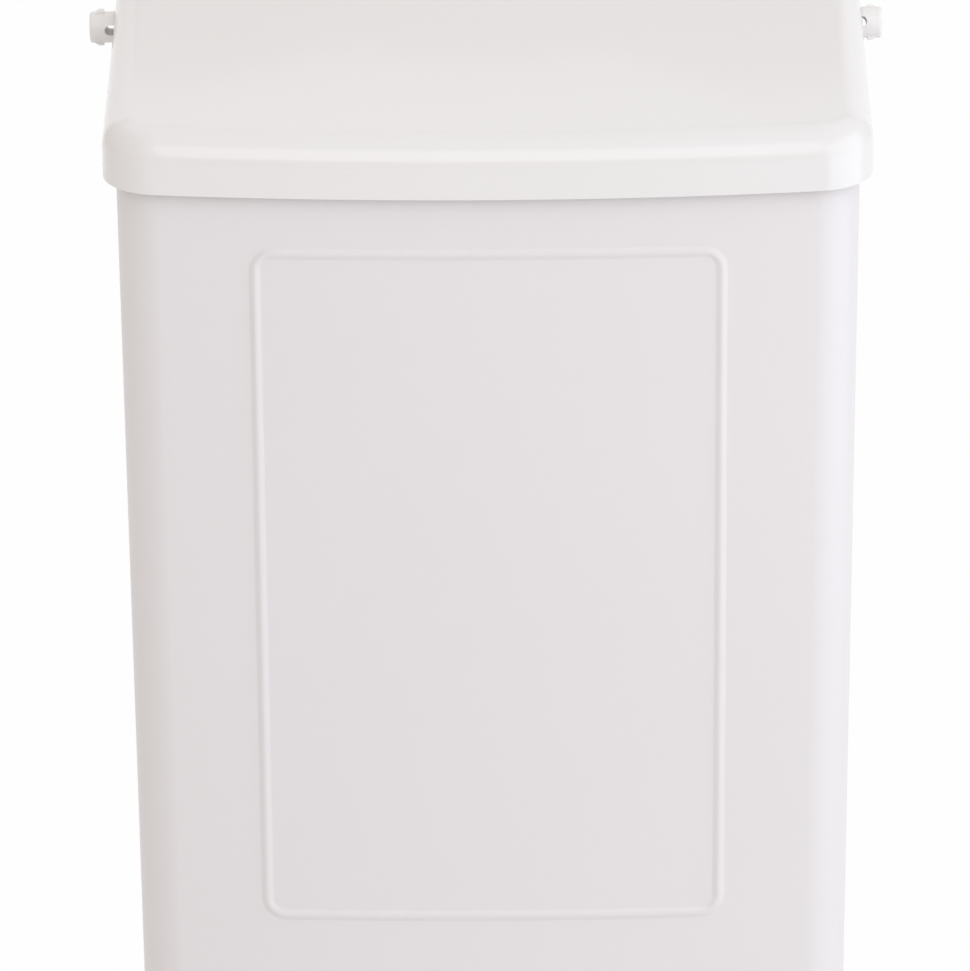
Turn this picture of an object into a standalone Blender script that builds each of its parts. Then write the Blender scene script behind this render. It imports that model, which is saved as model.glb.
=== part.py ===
"""Wall-hung sanitary container with a hinged lid, built from separate moulded pieces.

Metres, +Z up, +X to the right, +Y towards the wall. The origin is the middle of the wall
bracket's back face, so the wall is the plane Y = 0 and the container hangs in front of it.
Heights below are measured from the container's foot.
"""

import math
from dataclasses import dataclass, replace

import bmesh
import bpy
from mathutils import Matrix, Vector

# Container: its height runs from the foot to the lower edge of the lid's front
BODY_HEIGHT = 0.2423
RIM_WIDTH = 0.2034
RIM_DEPTH = 0.1180
SIDE_DRAFT = math.radians(0.75)
FRONT_DRAFT = math.radians(1.5)
FRONT_BOW_RADIUS = 0.800
FRONT_CORNER_RADIUS = 0.0130
BACK_CORNER_RADIUS = 0.0040
LEAST_CORNER = 0.0006
CONTAINER_WALL = 0.0022
BASE_THICKNESS = 0.0036
BASE_EDGE_RADIUS = 0.0040
FOOT_BAND = 0.0080
FOOT_HEIGHT = 0.0012
WALL_STANDOFF = 0.0080

# Raised bead that frames the front panel
BEAD_TOP_WIDTH = 0.1266
BEAD_BOTTOM_WIDTH = 0.1248
BEAD_TOP_HEIGHT = 0.2261
BEAD_BOTTOM_HEIGHT = 0.0331
BEAD_CORNER_RADIUS = 0.0050
BEAD_WIDTH = 0.0038
BEAD_RISE = 0.0011
BEAD_ROOT = 0.0008

# Lid
LID_OVERHANG = 0.0033
LID_WALL = 0.0022
LID_EDGE_SLOPE = math.radians(6.0)
LID_SHOULDER_RISE = 0.0080
LID_SHOULDER_RADIUS = 0.0080
LID_SLOPE = math.radians(6.8)
LID_SWEEP = 0.0028
LID_SWEEP_POWER = 3
LID_CROWN = 0.0012
LID_SEAT_GAP = 0.0003
LID_TAIL_SETBACK = 0.0024

# Hinge
HINGE_SETBACK = 0.0090
HINGE_RISE = 0.0192
PIN_DIAMETER = 0.0088
PIN_CLEARANCE = 0.0002
PIN_REACH = 0.0072
PIN_NECK_LENGTH = 0.0032
PIN_HEAD_DIAMETER = 0.0112
PIN_HEAD_THICKNESS = 0.0020
PIN_HEAD_GAP = 0.0003
PIN_TIP_ROUND = 0.0009
# The pins are loose in their bores: the right one is pushed in by this much and turned by this much
PIN_PLAY = 0.0014
PIN_TURN = math.radians(-18.0)
BARB_RISE = 0.0005
BARB_LENGTH = 0.0029
BARB_CREST = 0.0014
BARB_WIDTH = 0.0034
EYE_LENGTH = 0.0044
EYE_HEIGHT = 0.0030
EYE_SHOWING = 0.0029

# Bag ring and the ledges that carry it
RING_DROP = 0.0060
RING_HEIGHT = 0.0100
RING_THICKNESS = 0.0016
RING_FLANGE = 0.0050
RING_CLEARANCE = 0.0005
LEDGE_LENGTH = 0.0140
LEDGE_DEPTH = 0.0026
LEDGE_HEIGHT = 0.0050
LEDGE_SPACING = 0.0560
LEDGE_GAP = 0.0003

# Rail on the container's back, and the bracket that it drops on to
RAIL_WIDTH = 0.0700
RAIL_DROP = 0.0150
RAIL_TOP = 0.0024
RAIL_LIP = 0.0022
RAIL_LIP_HEIGHT = 0.0100
BRACKET_PLATE = 0.0025
BRACKET_HEIGHT = 0.0560
BRACKET_MARGIN = 0.0080
BRACKET_CHEEK = 0.0030
BRACKET_CORNER_RADIUS = 0.0060
SHELF_THICKNESS = 0.0030
HANG_GAP = 0.0003
SPACER_WIDTH = 0.0050
SPACER_HEIGHT = 0.0400
SPACER_PITCH = 0.1200
SPACER_FOOT_HEIGHT = 0.0300

# Wall fixings
SCREW_PITCH = 0.0440
SCREW_DROP = 0.0140
SCREW_DIAMETER = 0.0036
SCREW_LENGTH = 0.0260
SCREW_POINT_LENGTH = 0.0040
SCREW_POINT_DIAMETER = 0.0008
SCREW_HEAD_DIAMETER = 0.0076
SCREW_HEAD_HEIGHT = 0.0022
SCREW_HOLE_CLEARANCE = 0.0004
SCREW_SEAT_GAP = 0.0003
DRIVE_LENGTH = 0.0036
DRIVE_WIDTH = 0.0009
DRIVE_DEPTH = 0.0012
PLUG_DIAMETER = 0.0064
PLUG_LENGTH = 0.0300
PLUG_BORE_CLEARANCE = 0.0003
PLUG_COLLAR_DIAMETER = 0.0084
PLUG_COLLAR_THICKNESS = 0.0009
PLUG_SPLIT = 0.0010
PLUG_SPLIT_LENGTH = 0.0200
PLUG_RIDGE_RISE = 0.0004
PLUG_RIDGE_PITCH = 0.0040
PLUG_SEAT_GAP = 0.0003
RELIEF_CLEARANCE = 0.0004

# A cut runs past the face that it opens, and a joined shape roots in its carrier, by these
OVERRUN = 0.0040
ROOT = 0.0010

# How many segments the curved stretches have
BOW_STEPS = 8
CORNER_STEPS = 7
SIDE_STEPS = 6
BACK_CORNER_STEPS = 3
BACK_STEPS = 2
WALL_STEPS = 4
BASE_STEPS = 4
SHOULDER_STEPS = 6
PROFILE_STEPS = 14
REAR_STEPS = 8
BEAD_CORNER_STEPS = 5
BEAD_LONG_STEPS = 12
BEAD_SHORT_STEPS = 12
BEAD_ARC_STEPS = 6
ROUND_STEPS = 32
SMALL_ROUND_STEPS = 20
PLATE_CORNER_STEPS = 5
EYE_STEPS = 8
HEAD_STEPS = 4
LID_TOP_SHARES = (0.88, 0.74, 0.58, 0.42, 0.26, 0.10)

# Places worked out from the sizes above
BACK_Y = -WALL_STANDOFF
FRONT_Y = BACK_Y - RIM_DEPTH
HINGE_Y = BACK_Y - HINGE_SETBACK
HINGE_HEIGHT = BODY_HEIGHT + HINGE_RISE
LID_FRONT_Y = FRONT_Y - LID_OVERHANG
LID_DEPTH = BACK_Y - LID_FRONT_Y
LID_FACE_X = RIM_WIDTH / 2 + LID_OVERHANG
LID_FIT = LID_OVERHANG - LID_WALL
LID_INNER_RADIUS = LID_SHOULDER_RADIUS - LID_WALL
RAIL_HEIGHT = HINGE_HEIGHT - RAIL_DROP
SEAT_HEIGHT = RAIL_HEIGHT - RAIL_TOP
LIP_FOOT_HEIGHT = SEAT_HEIGHT - RAIL_LIP_HEIGHT
SHELF_TOP_HEIGHT = LIP_FOOT_HEIGHT - HANG_GAP
SHELF_FOOT_HEIGHT = SHELF_TOP_HEIGHT - SHELF_THICKNESS
BRACKET_MIDDLE_HEIGHT = RAIL_HEIGHT - BRACKET_HEIGHT / 2
SCREW_HEIGHT = SHELF_FOOT_HEIGHT - SCREW_DROP
BORE_DIAMETER = PIN_DIAMETER + 2 * PIN_CLEARANCE


@dataclass(frozen=True)
class Plan:
    """An outline seen from above: bowed front, round corners, straight sides and back."""

    half_width: float
    front_y: float
    back_y: float
    corner: float
    back_corner: float
    bow: float

    def grown(self, by):
        """The same outline moved outwards all round, or inwards where by is negative."""
        return Plan(
            half_width=self.half_width + by,
            front_y=self.front_y - by,
            back_y=self.back_y + by,
            corner=max(self.corner + by, LEAST_CORNER),
            back_corner=max(self.back_corner + by, LEAST_CORNER),
            bow=self.bow + by,
        )

    def points(self):
        """The outline's points, anticlockwise from the middle of the front."""
        bow_y = self.front_y + self.bow
        corner_x = self.half_width - self.corner
        corner_y = bow_y - math.sqrt((self.bow - self.corner) ** 2 - corner_x**2)
        meet = math.asin(corner_x / (self.bow - self.corner))
        right = []
        for i in range(BOW_STEPS):
            turn = meet * i / BOW_STEPS
            right.append((self.bow * math.sin(turn), bow_y - self.bow * math.cos(turn)))
        for i in range(CORNER_STEPS):
            turn = meet + (math.pi / 2 - meet) * i / CORNER_STEPS
            x = corner_x + self.corner * math.sin(turn)
            right.append((x, corner_y - self.corner * math.cos(turn)))
        side_end_y = self.back_y - self.back_corner
        for i in range(SIDE_STEPS):
            y = corner_y + (side_end_y - corner_y) * i / SIDE_STEPS
            right.append((self.half_width, y))
        back_corner_x = self.half_width - self.back_corner
        for i in range(BACK_CORNER_STEPS):
            turn = math.pi / 2 * i / BACK_CORNER_STEPS
            x = back_corner_x + self.back_corner * math.cos(turn)
            right.append((x, side_end_y + self.back_corner * math.sin(turn)))
        for i in range(BACK_STEPS + 1):
            right.append((back_corner_x * (1 - i / BACK_STEPS), self.back_y))
        return right + [(-x, y) for x, y in reversed(right[1:-1])]


def lid_shoulder_height(y):
    """Height at which the lid's upright sides start to turn into its top, at a depth y."""
    back = y - LID_FRONT_Y
    sweep = LID_SWEEP * (back / LID_DEPTH) ** LID_SWEEP_POWER
    return BODY_HEIGHT + LID_SHOULDER_RISE + back * math.tan(LID_SLOPE) + sweep


def lid_edge_height(y):
    """Height of the lid's lower edge at a depth y."""
    return BODY_HEIGHT + (y - LID_FRONT_Y) * math.tan(LID_EDGE_SLOPE)


def rim_height(y):
    """Height of the container's rim at a depth y, just under the lid's inner shoulder."""
    inwards = LID_INNER_RADIUS - LID_FIT
    lift = math.sqrt((LID_INNER_RADIUS - LID_SEAT_GAP) ** 2 - inwards**2)
    return lid_shoulder_height(y) + lift


FRONT_RIM_HEIGHT = rim_height(FRONT_Y)
RIM_TOP_HEIGHT = rim_height(HINGE_Y)
REAR_ROUND_RADIUS = RIM_TOP_HEIGHT - HINGE_HEIGHT
RING_TOP_HEIGHT = FRONT_RIM_HEIGHT - RING_DROP
RING_FOOT_HEIGHT = RING_TOP_HEIGHT - RING_HEIGHT


def container_plan(height):
    """The container's outside at a height above its foot."""
    return Plan(
        half_width=RIM_WIDTH / 2 - (RIM_TOP_HEIGHT - height) * math.tan(SIDE_DRAFT),
        front_y=FRONT_Y + (FRONT_RIM_HEIGHT - height) * math.tan(FRONT_DRAFT),
        back_y=BACK_Y,
        corner=FRONT_CORNER_RADIUS,
        back_corner=BACK_CORNER_RADIUS,
        bow=FRONT_BOW_RADIUS,
    )


def clear_scene():
    """Removes whatever the open file holds."""
    for item in list(bpy.data.objects):
        bpy.data.objects.remove(item, do_unlink=True)


def plastic(name, colour, roughness):
    """A moulded plastic of one colour."""
    material = bpy.data.materials.new(name)
    material.use_nodes = True
    shader = material.node_tree.nodes["Principled BSDF"]
    shader.inputs["Base Color"].default_value = (*colour, 1.0)
    shader.inputs["Roughness"].default_value = roughness
    shader.inputs["Metallic"].default_value = 0.0
    return material


def plated_steel(name):
    """The bright plating of the wall screws."""
    material = plastic(name, (0.62, 0.62, 0.60), 0.32)
    material.node_tree.nodes["Principled BSDF"].inputs["Metallic"].default_value = 1.0
    return material


def add_object(name, mesh, parent, material=None, origin=(0.0, 0.0, 0.0)):
    """Adds a mesh drawn in its parent's frame as an object with its origin at a point there."""
    mesh.transform(Matrix.Translation(-Vector(origin)))
    item = bpy.data.objects.new(name, mesh)
    bpy.context.scene.collection.objects.link(item)
    item.parent = parent
    item.location = origin
    if material:
        mesh.materials.append(material)
        mesh.shade_smooth()
        mesh.set_sharp_from_angle(angle=math.radians(32))
    return item


def combine(target, operation, *tools):
    """Cuts helper shapes from an object, or joins them to it, and keeps them out of renders."""
    for tool in tools:
        modifier = target.modifiers.new(f"{operation.lower()} {tool.name}", "BOOLEAN")
        modifier.operation = operation
        modifier.object = tool
        tool.hide_render = True
        tool.display_type = "WIRE"


def mesh_of(shape, name):
    """Turns a finished bmesh into a mesh with its faces pointing outwards."""
    bmesh.ops.recalc_face_normals(shape, faces=shape.faces)
    mesh = bpy.data.meshes.new(name)
    shape.to_mesh(mesh)
    shape.free()
    return mesh


def skin_mesh(name, rings, closed=False):
    """A skin over rings of equal length: capped at both ends, or closed into a loop."""
    shape = bmesh.new()
    rows = [[shape.verts.new(point) for point in ring] for ring in rings]
    pairs = list(zip(rows, rows[1:]))
    if closed:
        pairs.append((rows[-1], rows[0]))
    else:
        shape.faces.new(rows[0])
        shape.faces.new(rows[-1])
    for low, high in pairs:
        for i in range(len(low)):
            j = (i + 1) % len(low)
            shape.faces.new((low[i], low[j], high[j], high[i]))
    return mesh_of(shape, name)


def prism_mesh(name, outline, axis, start, end):
    """An outline swept straight along an axis, its other two coordinates in X, Y, Z order."""

    def placed(along):
        return [Vector((*p[:axis], along, *p[axis:])) for p in outline]

    return skin_mesh(name, [placed(start), placed(end)])


def box_mesh(name, low, high):
    """A plain block between two corners."""
    outline = [(low[0], low[1]), (high[0], low[1]), (high[0], high[1]), (low[0], high[1])]
    return prism_mesh(name, outline, 2, low[2], high[2])


def circle(radius, steps):
    """A circle's points about zero."""
    turns = [2 * math.pi * i / steps for i in range(steps)]
    return [(radius * math.cos(turn), radius * math.sin(turn)) for turn in turns]


def turned_mesh(name, profile, axis, centre, steps):
    """A turned shape: profile pairs of a place along the axis and a radius there."""
    rings = []
    for along, radius in profile:
        ring = []
        for u, v in circle(radius, steps):
            pair = (centre[0] + u, centre[1] + v)
            ring.append(Vector((*pair[:axis], along, *pair[axis:])))
        rings.append(ring)
    return skin_mesh(name, rings)


def level_ring(plan, height):
    """A plan's outline as points at one height."""
    return [Vector((x, y, height)) for x, y in plan.points()]


def bin_rings(inset, floor_height, top_height):
    """Rings of a drafted bin with a rounded edge at its floor, inset from the outside."""
    rings = []
    for i in range(BASE_STEPS + 1):
        turn = math.pi / 2 * i / BASE_STEPS
        height = floor_height + BASE_EDGE_RADIUS * (1 - math.cos(turn))
        further = BASE_EDGE_RADIUS * (1 - math.sin(turn))
        rings.append(level_ring(container_plan(height).grown(-inset - further), height))
    start_height = floor_height + BASE_EDGE_RADIUS
    for i in range(1, WALL_STEPS + 1):
        height = start_height + (top_height - start_height) * i / WALL_STEPS
        rings.append(level_ring(container_plan(height).grown(-inset), height))
    return rings


def rim_cutter(parent):
    """Everything above the rim: a slope that follows the lid, rounded about the hinge."""
    front_y = FRONT_Y - OVERRUN
    outline = []
    for i in range(PROFILE_STEPS):
        y = front_y + (HINGE_Y - front_y) * i / PROFILE_STEPS
        outline.append((y, rim_height(y)))
    for i in range(REAR_STEPS + 1):
        turn = math.pi / 2 * i / REAR_STEPS
        y = HINGE_Y + REAR_ROUND_RADIUS * math.sin(turn)
        outline.append((y, HINGE_HEIGHT + REAR_ROUND_RADIUS * math.cos(turn)))
    outline.append((BACK_Y + OVERRUN, HINGE_HEIGHT))
    outline.append((BACK_Y + OVERRUN, RIM_TOP_HEIGHT + 2 * OVERRUN))
    outline.append((front_y, RIM_TOP_HEIGHT + 2 * OVERRUN))
    reach = RIM_WIDTH / 2 + OVERRUN
    mesh = prism_mesh("rim_cut", outline, 0, -reach, reach)
    return add_object("rim_cut", mesh, parent)


def bead_path():
    """The bead's run round the panel: places across and up, and the way it heads there."""
    corners = (
        (BEAD_BOTTOM_WIDTH / 2, BEAD_BOTTOM_HEIGHT, -math.pi / 2),
        (BEAD_TOP_WIDTH / 2, BEAD_TOP_HEIGHT, 0.0),
        (-BEAD_TOP_WIDTH / 2, BEAD_TOP_HEIGHT, math.pi / 2),
        (-BEAD_BOTTOM_WIDTH / 2, BEAD_BOTTOM_HEIGHT, math.pi),
    )
    arcs = []
    for x, height, first in corners:
        across = x - math.copysign(BEAD_CORNER_RADIUS, x)
        inwards = BEAD_CORNER_RADIUS if height == BEAD_BOTTOM_HEIGHT else -BEAD_CORNER_RADIUS
        arc = []
        for i in range(BEAD_CORNER_STEPS + 1):
            turn = first + math.pi / 2 * i / BEAD_CORNER_STEPS
            out = Vector((math.cos(turn), math.sin(turn)))
            arc.append(Vector((across, height + inwards)) + BEAD_CORNER_RADIUS * out)
        arcs.append(arc)
    places = []
    for n, arc in enumerate(arcs):
        following = arcs[(n + 1) % len(arcs)]
        places.extend(arc)
        steps = BEAD_SHORT_STEPS if n % 2 else BEAD_LONG_STEPS
        places.extend(arc[-1].lerp(following[0], i / steps) for i in range(1, steps))
    count = len(places)
    headings = [(places[(i + 1) % count] - places[i - 1]).normalized() for i in range(count)]
    return list(zip(places, headings))


def front_surface(x, height):
    """A point of the container's bowed front and the direction that it faces."""
    plan = container_plan(height)
    y = plan.front_y + plan.bow - math.sqrt(plan.bow**2 - x**2)
    outwards = Vector((x / plan.bow, -1.0, -math.tan(FRONT_DRAFT))).normalized()
    return Vector((x, y, height)), outwards


def panel_bead(parent):
    """The half-round bead, rooted in the front wall."""
    sections = []
    for place, heading in bead_path():
        point, outwards = front_surface(place.x, place.y)
        along = Vector((heading.x, 0.0, heading.y))
        side = along.cross(outwards).normalized()
        section = []
        for i in range(BEAD_ARC_STEPS + 1):
            turn = math.pi * i / BEAD_ARC_STEPS
            across = -BEAD_WIDTH / 2 * math.cos(turn)
            section.append(point + side * across + outwards * (BEAD_RISE * math.sin(turn)))
        section.append(point + side * (BEAD_WIDTH / 2) - outwards * BEAD_ROOT)
        section.append(point - side * (BEAD_WIDTH / 2) - outwards * BEAD_ROOT)
        sections.append(section)
    mesh = skin_mesh("panel_bead", sections, closed=True)
    return add_object("panel_bead", mesh, parent)


def ring_ledges(parent):
    """Four gussets inside the side walls that the bag ring sits on."""
    top_height = RING_FOOT_HEIGHT - LEDGE_GAP
    wall_x = container_plan(top_height).half_width - CONTAINER_WALL
    middle_y = (FRONT_Y + BACK_Y) / 2
    ledges = []
    for side in (-1, 1):
        outline = (
            (side * (wall_x + ROOT), top_height),
            (side * (wall_x - LEDGE_DEPTH), top_height),
            (side * (wall_x + ROOT), top_height - LEDGE_HEIGHT),
        )
        for end in (-1, 1):
            y = middle_y + end * LEDGE_SPACING / 2
            name = f"ring_ledge_{len(ledges) + 1}"
            mesh = prism_mesh(name, outline, 1, y - LEDGE_LENGTH / 2, y + LEDGE_LENGTH / 2)
            ledges.append(add_object(name, mesh, parent))
    return ledges


def back_rail(parent):
    """The downturned rail across the back, which hooks over the bracket's tongue."""
    lip_back_y = -BRACKET_PLATE - HANG_GAP
    lip_front_y = lip_back_y - RAIL_LIP
    outline = (
        (BACK_Y - ROOT, RAIL_HEIGHT),
        (BACK_Y - ROOT, SEAT_HEIGHT),
        (lip_front_y, SEAT_HEIGHT),
        (lip_front_y, LIP_FOOT_HEIGHT),
        (lip_back_y, LIP_FOOT_HEIGHT),
        (lip_back_y, RAIL_HEIGHT),
    )
    mesh = prism_mesh("back_rail", outline, 0, -RAIL_WIDTH / 2, RAIL_WIDTH / 2)
    return add_object("back_rail", mesh, parent)


def back_spacers(parent):
    """Two upright ribs low on the back that keep the container level against the wall."""
    top_height = SPACER_FOOT_HEIGHT + SPACER_HEIGHT
    taper = SPACER_WIDTH
    outline = (
        (BACK_Y - ROOT, SPACER_FOOT_HEIGHT - taper),
        (-HANG_GAP, SPACER_FOOT_HEIGHT),
        (-HANG_GAP, top_height),
        (BACK_Y - ROOT, top_height + taper),
    )
    spacers = []
    for side in (-1, 1):
        x = side * SPACER_PITCH / 2
        name = f"back_spacer_{len(spacers) + 1}"
        mesh = prism_mesh(name, outline, 0, x - SPACER_WIDTH / 2, x + SPACER_WIDTH / 2)
        spacers.append(add_object(name, mesh, parent))
    return spacers


def hinge_bore(parent):
    """One long round cut on the hinge axis, for both side walls and both lid sides."""
    reach = LID_FACE_X + OVERRUN
    profile = ((-reach, BORE_DIAMETER / 2), (reach, BORE_DIAMETER / 2))
    centre = (HINGE_Y, HINGE_HEIGHT)
    mesh = turned_mesh("hinge_bore", profile, 0, centre, ROUND_STEPS)
    return add_object("hinge_bore", mesh, parent)


def build_container(parent, bore, material):
    """The bin body: a drafted shell with its rim, bead, ledges, rail, spacers and foot."""
    top_height = RIM_TOP_HEIGHT + OVERRUN
    shell = skin_mesh("container", bin_rings(0.0, 0.0, top_height))
    container = add_object("container", shell, parent, material)
    rings = bin_rings(CONTAINER_WALL, BASE_THICKNESS, top_height + OVERRUN)
    inside = add_object("container_inside", skin_mesh("container_inside", rings), parent)
    foot_plan = container_plan(0.0).grown(-FOOT_BAND)
    foot_rings = [level_ring(foot_plan, -OVERRUN), level_ring(foot_plan, FOOT_HEIGHT)]
    foot = add_object("foot_recess", skin_mesh("foot_recess", foot_rings), parent)
    combine(container, "DIFFERENCE", inside, rim_cutter(parent), bore, foot)
    combine(container, "UNION", panel_bead(parent), back_rail(parent))
    combine(container, "UNION", *ring_ledges(parent), *back_spacers(parent))
    return container


def lid_plan():
    """The lid's outside, run past the back, where a flat cut ends it."""
    tail = LID_SHOULDER_RADIUS + OVERRUN
    plan = Plan(
        half_width=RIM_WIDTH / 2,
        front_y=FRONT_Y,
        back_y=BACK_Y + tail - LID_OVERHANG,
        corner=FRONT_CORNER_RADIUS,
        back_corner=BACK_CORNER_RADIUS,
        bow=FRONT_BOW_RADIUS,
    )
    return plan.grown(LID_OVERHANG)


def lid_crown(x, y):
    """How far the lid's top swells at a place, level with its plain slope at the shoulder."""
    across = min(abs(x) / (LID_FACE_X - LID_SHOULDER_RADIUS), 1.0)
    front_y = LID_FRONT_Y + LID_SHOULDER_RADIUS + x**2 / (2 * FRONT_BOW_RADIUS)
    deep = min(max((y - front_y) / (BACK_Y - front_y), 0.0), 1.0)
    return LID_CROWN * (1 - across**2) ** 2 * (2 * deep - deep**2) ** 2


def lid_rings(plan, radius, edge_drop):
    """Rings of the lid's skin: skirt, rounded shoulder, then the gently crowned top."""
    rings = [[Vector((x, y, lid_edge_height(y) - edge_drop)) for x, y in plan.points()]]
    for i in range(SHOULDER_STEPS + 1):
        turn = math.pi / 2 * i / SHOULDER_STEPS
        outline = plan.grown(radius * (math.cos(turn) - 1)).points()
        rise = radius * math.sin(turn)
        rings.append([Vector((x, y, lid_shoulder_height(y) + rise)) for x, y in outline])
    outline = plan.grown(-radius).points()
    middle_y = (plan.front_y + plan.back_y) / 2
    for share in LID_TOP_SHARES:
        ring = []
        for x, y in outline:
            inner_y = middle_y + (y - middle_y) * share
            height = lid_shoulder_height(inner_y) + radius + lid_crown(x * share, inner_y)
            ring.append(Vector((x * share, inner_y, height)))
        rings.append(ring)
    return rings


def build_lid(parent, bore, material):
    """The lid: a thin sloping cap, open underneath and along its back edge."""
    plan = lid_plan()
    mesh = skin_mesh("lid", lid_rings(plan, LID_SHOULDER_RADIUS, 0.0))
    origin = (0.0, HINGE_Y, HINGE_HEIGHT)
    lid = add_object("lid", mesh, parent, material, origin)
    inner_plan = plan.grown(-LID_WALL)
    inner_plan = replace(inner_plan, back_y=plan.back_y + OVERRUN)
    inner_rings = lid_rings(inner_plan, LID_INNER_RADIUS, OVERRUN)
    inside = add_object("lid_inside", skin_mesh("lid_inside", inner_rings), parent)
    low = (-LID_FACE_X - OVERRUN, BACK_Y - LID_TAIL_SETBACK, BODY_HEIGHT - OVERRUN)
    high = (LID_FACE_X + OVERRUN, BACK_Y + LID_DEPTH, RIM_TOP_HEIGHT + LID_DEPTH)
    tail = add_object("lid_tail", box_mesh("lid_tail", low, high), parent)
    combine(lid, "DIFFERENCE", inside, tail, bore)
    return lid


def pin_profile():
    """A snap pin's turned profile, from its head inside the container to its tip."""
    wall_x = container_plan(HINGE_HEIGHT).half_width - CONTAINER_WALL
    head_x = wall_x - PIN_HEAD_GAP - PIN_HEAD_THICKNESS
    shank = PIN_DIAMETER / 2
    tip_x = LID_FACE_X + PIN_REACH
    return (
        (head_x, PIN_HEAD_DIAMETER / 2),
        (head_x + PIN_HEAD_THICKNESS, PIN_HEAD_DIAMETER / 2),
        (head_x + PIN_HEAD_THICKNESS, shank),
        (tip_x - PIN_TIP_ROUND, shank),
        (tip_x - PIN_TIP_ROUND / 3, shank - PIN_TIP_ROUND / 3),
        (tip_x, shank - PIN_TIP_ROUND),
    )


def pin_barbs(carrier, name):
    """A blunt wedge across the pin, which stands proud as a barb above and below."""
    shank = PIN_DIAMETER / 2
    start_x = LID_FACE_X + PIN_NECK_LENGTH
    end_x = start_x + BARB_LENGTH
    outline = (
        (start_x, -shank - BARB_RISE),
        (start_x + BARB_CREST, -shank - BARB_RISE),
        (end_x, BARB_RISE - shank),
        (end_x, shank - BARB_RISE),
        (start_x + BARB_CREST, shank + BARB_RISE),
        (start_x, shank + BARB_RISE),
    )
    mesh = prism_mesh(name, outline, 1, -BARB_WIDTH / 2, BARB_WIDTH / 2)
    return add_object(name, mesh, carrier)


def pin_eye(carrier, name):
    """A slot through the pin, which lets it squeeze as its barbs pass the lid."""
    radius = EYE_HEIGHT / 2
    end_x = LID_FACE_X + EYE_SHOWING - radius
    start_x = end_x - EYE_LENGTH + EYE_HEIGHT
    outline = []
    for centre_x, first in ((end_x, -math.pi / 2), (start_x, math.pi / 2)):
        for i in range(EYE_STEPS + 1):
            turn = first + math.pi * i / EYE_STEPS
            outline.append((centre_x + radius * math.cos(turn), radius * math.sin(turn)))
    reach = PIN_DIAMETER / 2 + OVERRUN
    return add_object(name, prism_mesh(name, outline, 1, -reach, reach), carrier)


def build_pins(parent, material):
    """The two snap pins on the hinge axis: one shape, turned half round for the left side."""
    for side, turn, shift, roll in (("left", math.pi, 0.0, 0.0), ("right", 0.0, -PIN_PLAY, PIN_TURN)):
        carrier = bpy.data.objects.new(f"pin_axis_{side}", None)
        bpy.context.scene.collection.objects.link(carrier)
        carrier.parent = parent
        carrier.location = (shift, HINGE_Y, HINGE_HEIGHT)
        carrier.rotation_euler = (roll, 0.0, turn)
        name = f"hinge_pin_{side}"
        mesh = turned_mesh(name, pin_profile(), 0, (0.0, 0.0), ROUND_STEPS)
        pin = add_object(name, mesh, carrier, material)
        combine(pin, "UNION", pin_barbs(carrier, f"pin_barbs_{side}"))
        combine(pin, "DIFFERENCE", pin_eye(carrier, f"pin_eye_{side}"))


def build_bag_ring(parent, material):
    """The liner ring: an upright band with a flange turned in at its top."""
    foot_plan = container_plan(RING_FOOT_HEIGHT).grown(-CONTAINER_WALL - RING_CLEARANCE)
    rings = [level_ring(foot_plan, RING_FOOT_HEIGHT), level_ring(foot_plan, RING_TOP_HEIGHT)]
    ring = add_object("bag_ring", skin_mesh("bag_ring", rings), parent, material)
    band_plan = foot_plan.grown(-RING_THICKNESS)
    flange_foot = RING_TOP_HEIGHT - RING_THICKNESS
    rings = [level_ring(band_plan, RING_FOOT_HEIGHT - OVERRUN), level_ring(band_plan, flange_foot)]
    band = add_object("ring_band_cut", skin_mesh("ring_band_cut", rings), parent)
    mouth_plan = foot_plan.grown(-RING_FLANGE)
    rings = [
        level_ring(mouth_plan, RING_FOOT_HEIGHT - OVERRUN),
        level_ring(mouth_plan, RING_TOP_HEIGHT + OVERRUN),
    ]
    mouth = add_object("ring_mouth_cut", skin_mesh("ring_mouth_cut", rings), parent)
    combine(ring, "DIFFERENCE", band, mouth)
    return ring


def rounded_rectangle(half_width, low, high, radius):
    """A rectangle's outline with round corners, about X = 0."""
    corners = (
        (half_width - radius, low + radius, -math.pi / 2),
        (half_width - radius, high - radius, 0.0),
        (radius - half_width, high - radius, math.pi / 2),
        (radius - half_width, low + radius, math.pi),
    )
    outline = []
    for x, z, first in corners:
        for i in range(PLATE_CORNER_STEPS + 1):
            turn = first + math.pi / 2 * i / PLATE_CORNER_STEPS
            outline.append((x + radius * math.cos(turn), z + radius * math.sin(turn)))
    return outline


def bracket_hook(parent):
    """The bracket's shelf and upturned tongue, drawn as one section."""
    tongue_front_y = BACK_Y + HANG_GAP
    tongue_back_y = -BRACKET_PLATE - 2 * HANG_GAP - RAIL_LIP
    outline = (
        (-BRACKET_PLATE + ROOT, SHELF_FOOT_HEIGHT),
        (tongue_front_y, SHELF_FOOT_HEIGHT),
        (tongue_front_y, SEAT_HEIGHT - HANG_GAP),
        (tongue_back_y, SEAT_HEIGHT - HANG_GAP),
        (tongue_back_y, SHELF_TOP_HEIGHT),
        (-BRACKET_PLATE + ROOT, SHELF_TOP_HEIGHT),
    )
    reach = RAIL_WIDTH / 2 + HANG_GAP + BRACKET_CHEEK / 2
    mesh = prism_mesh("bracket_hook", outline, 0, -reach, reach)
    return add_object("bracket_hook", mesh, parent)


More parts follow.
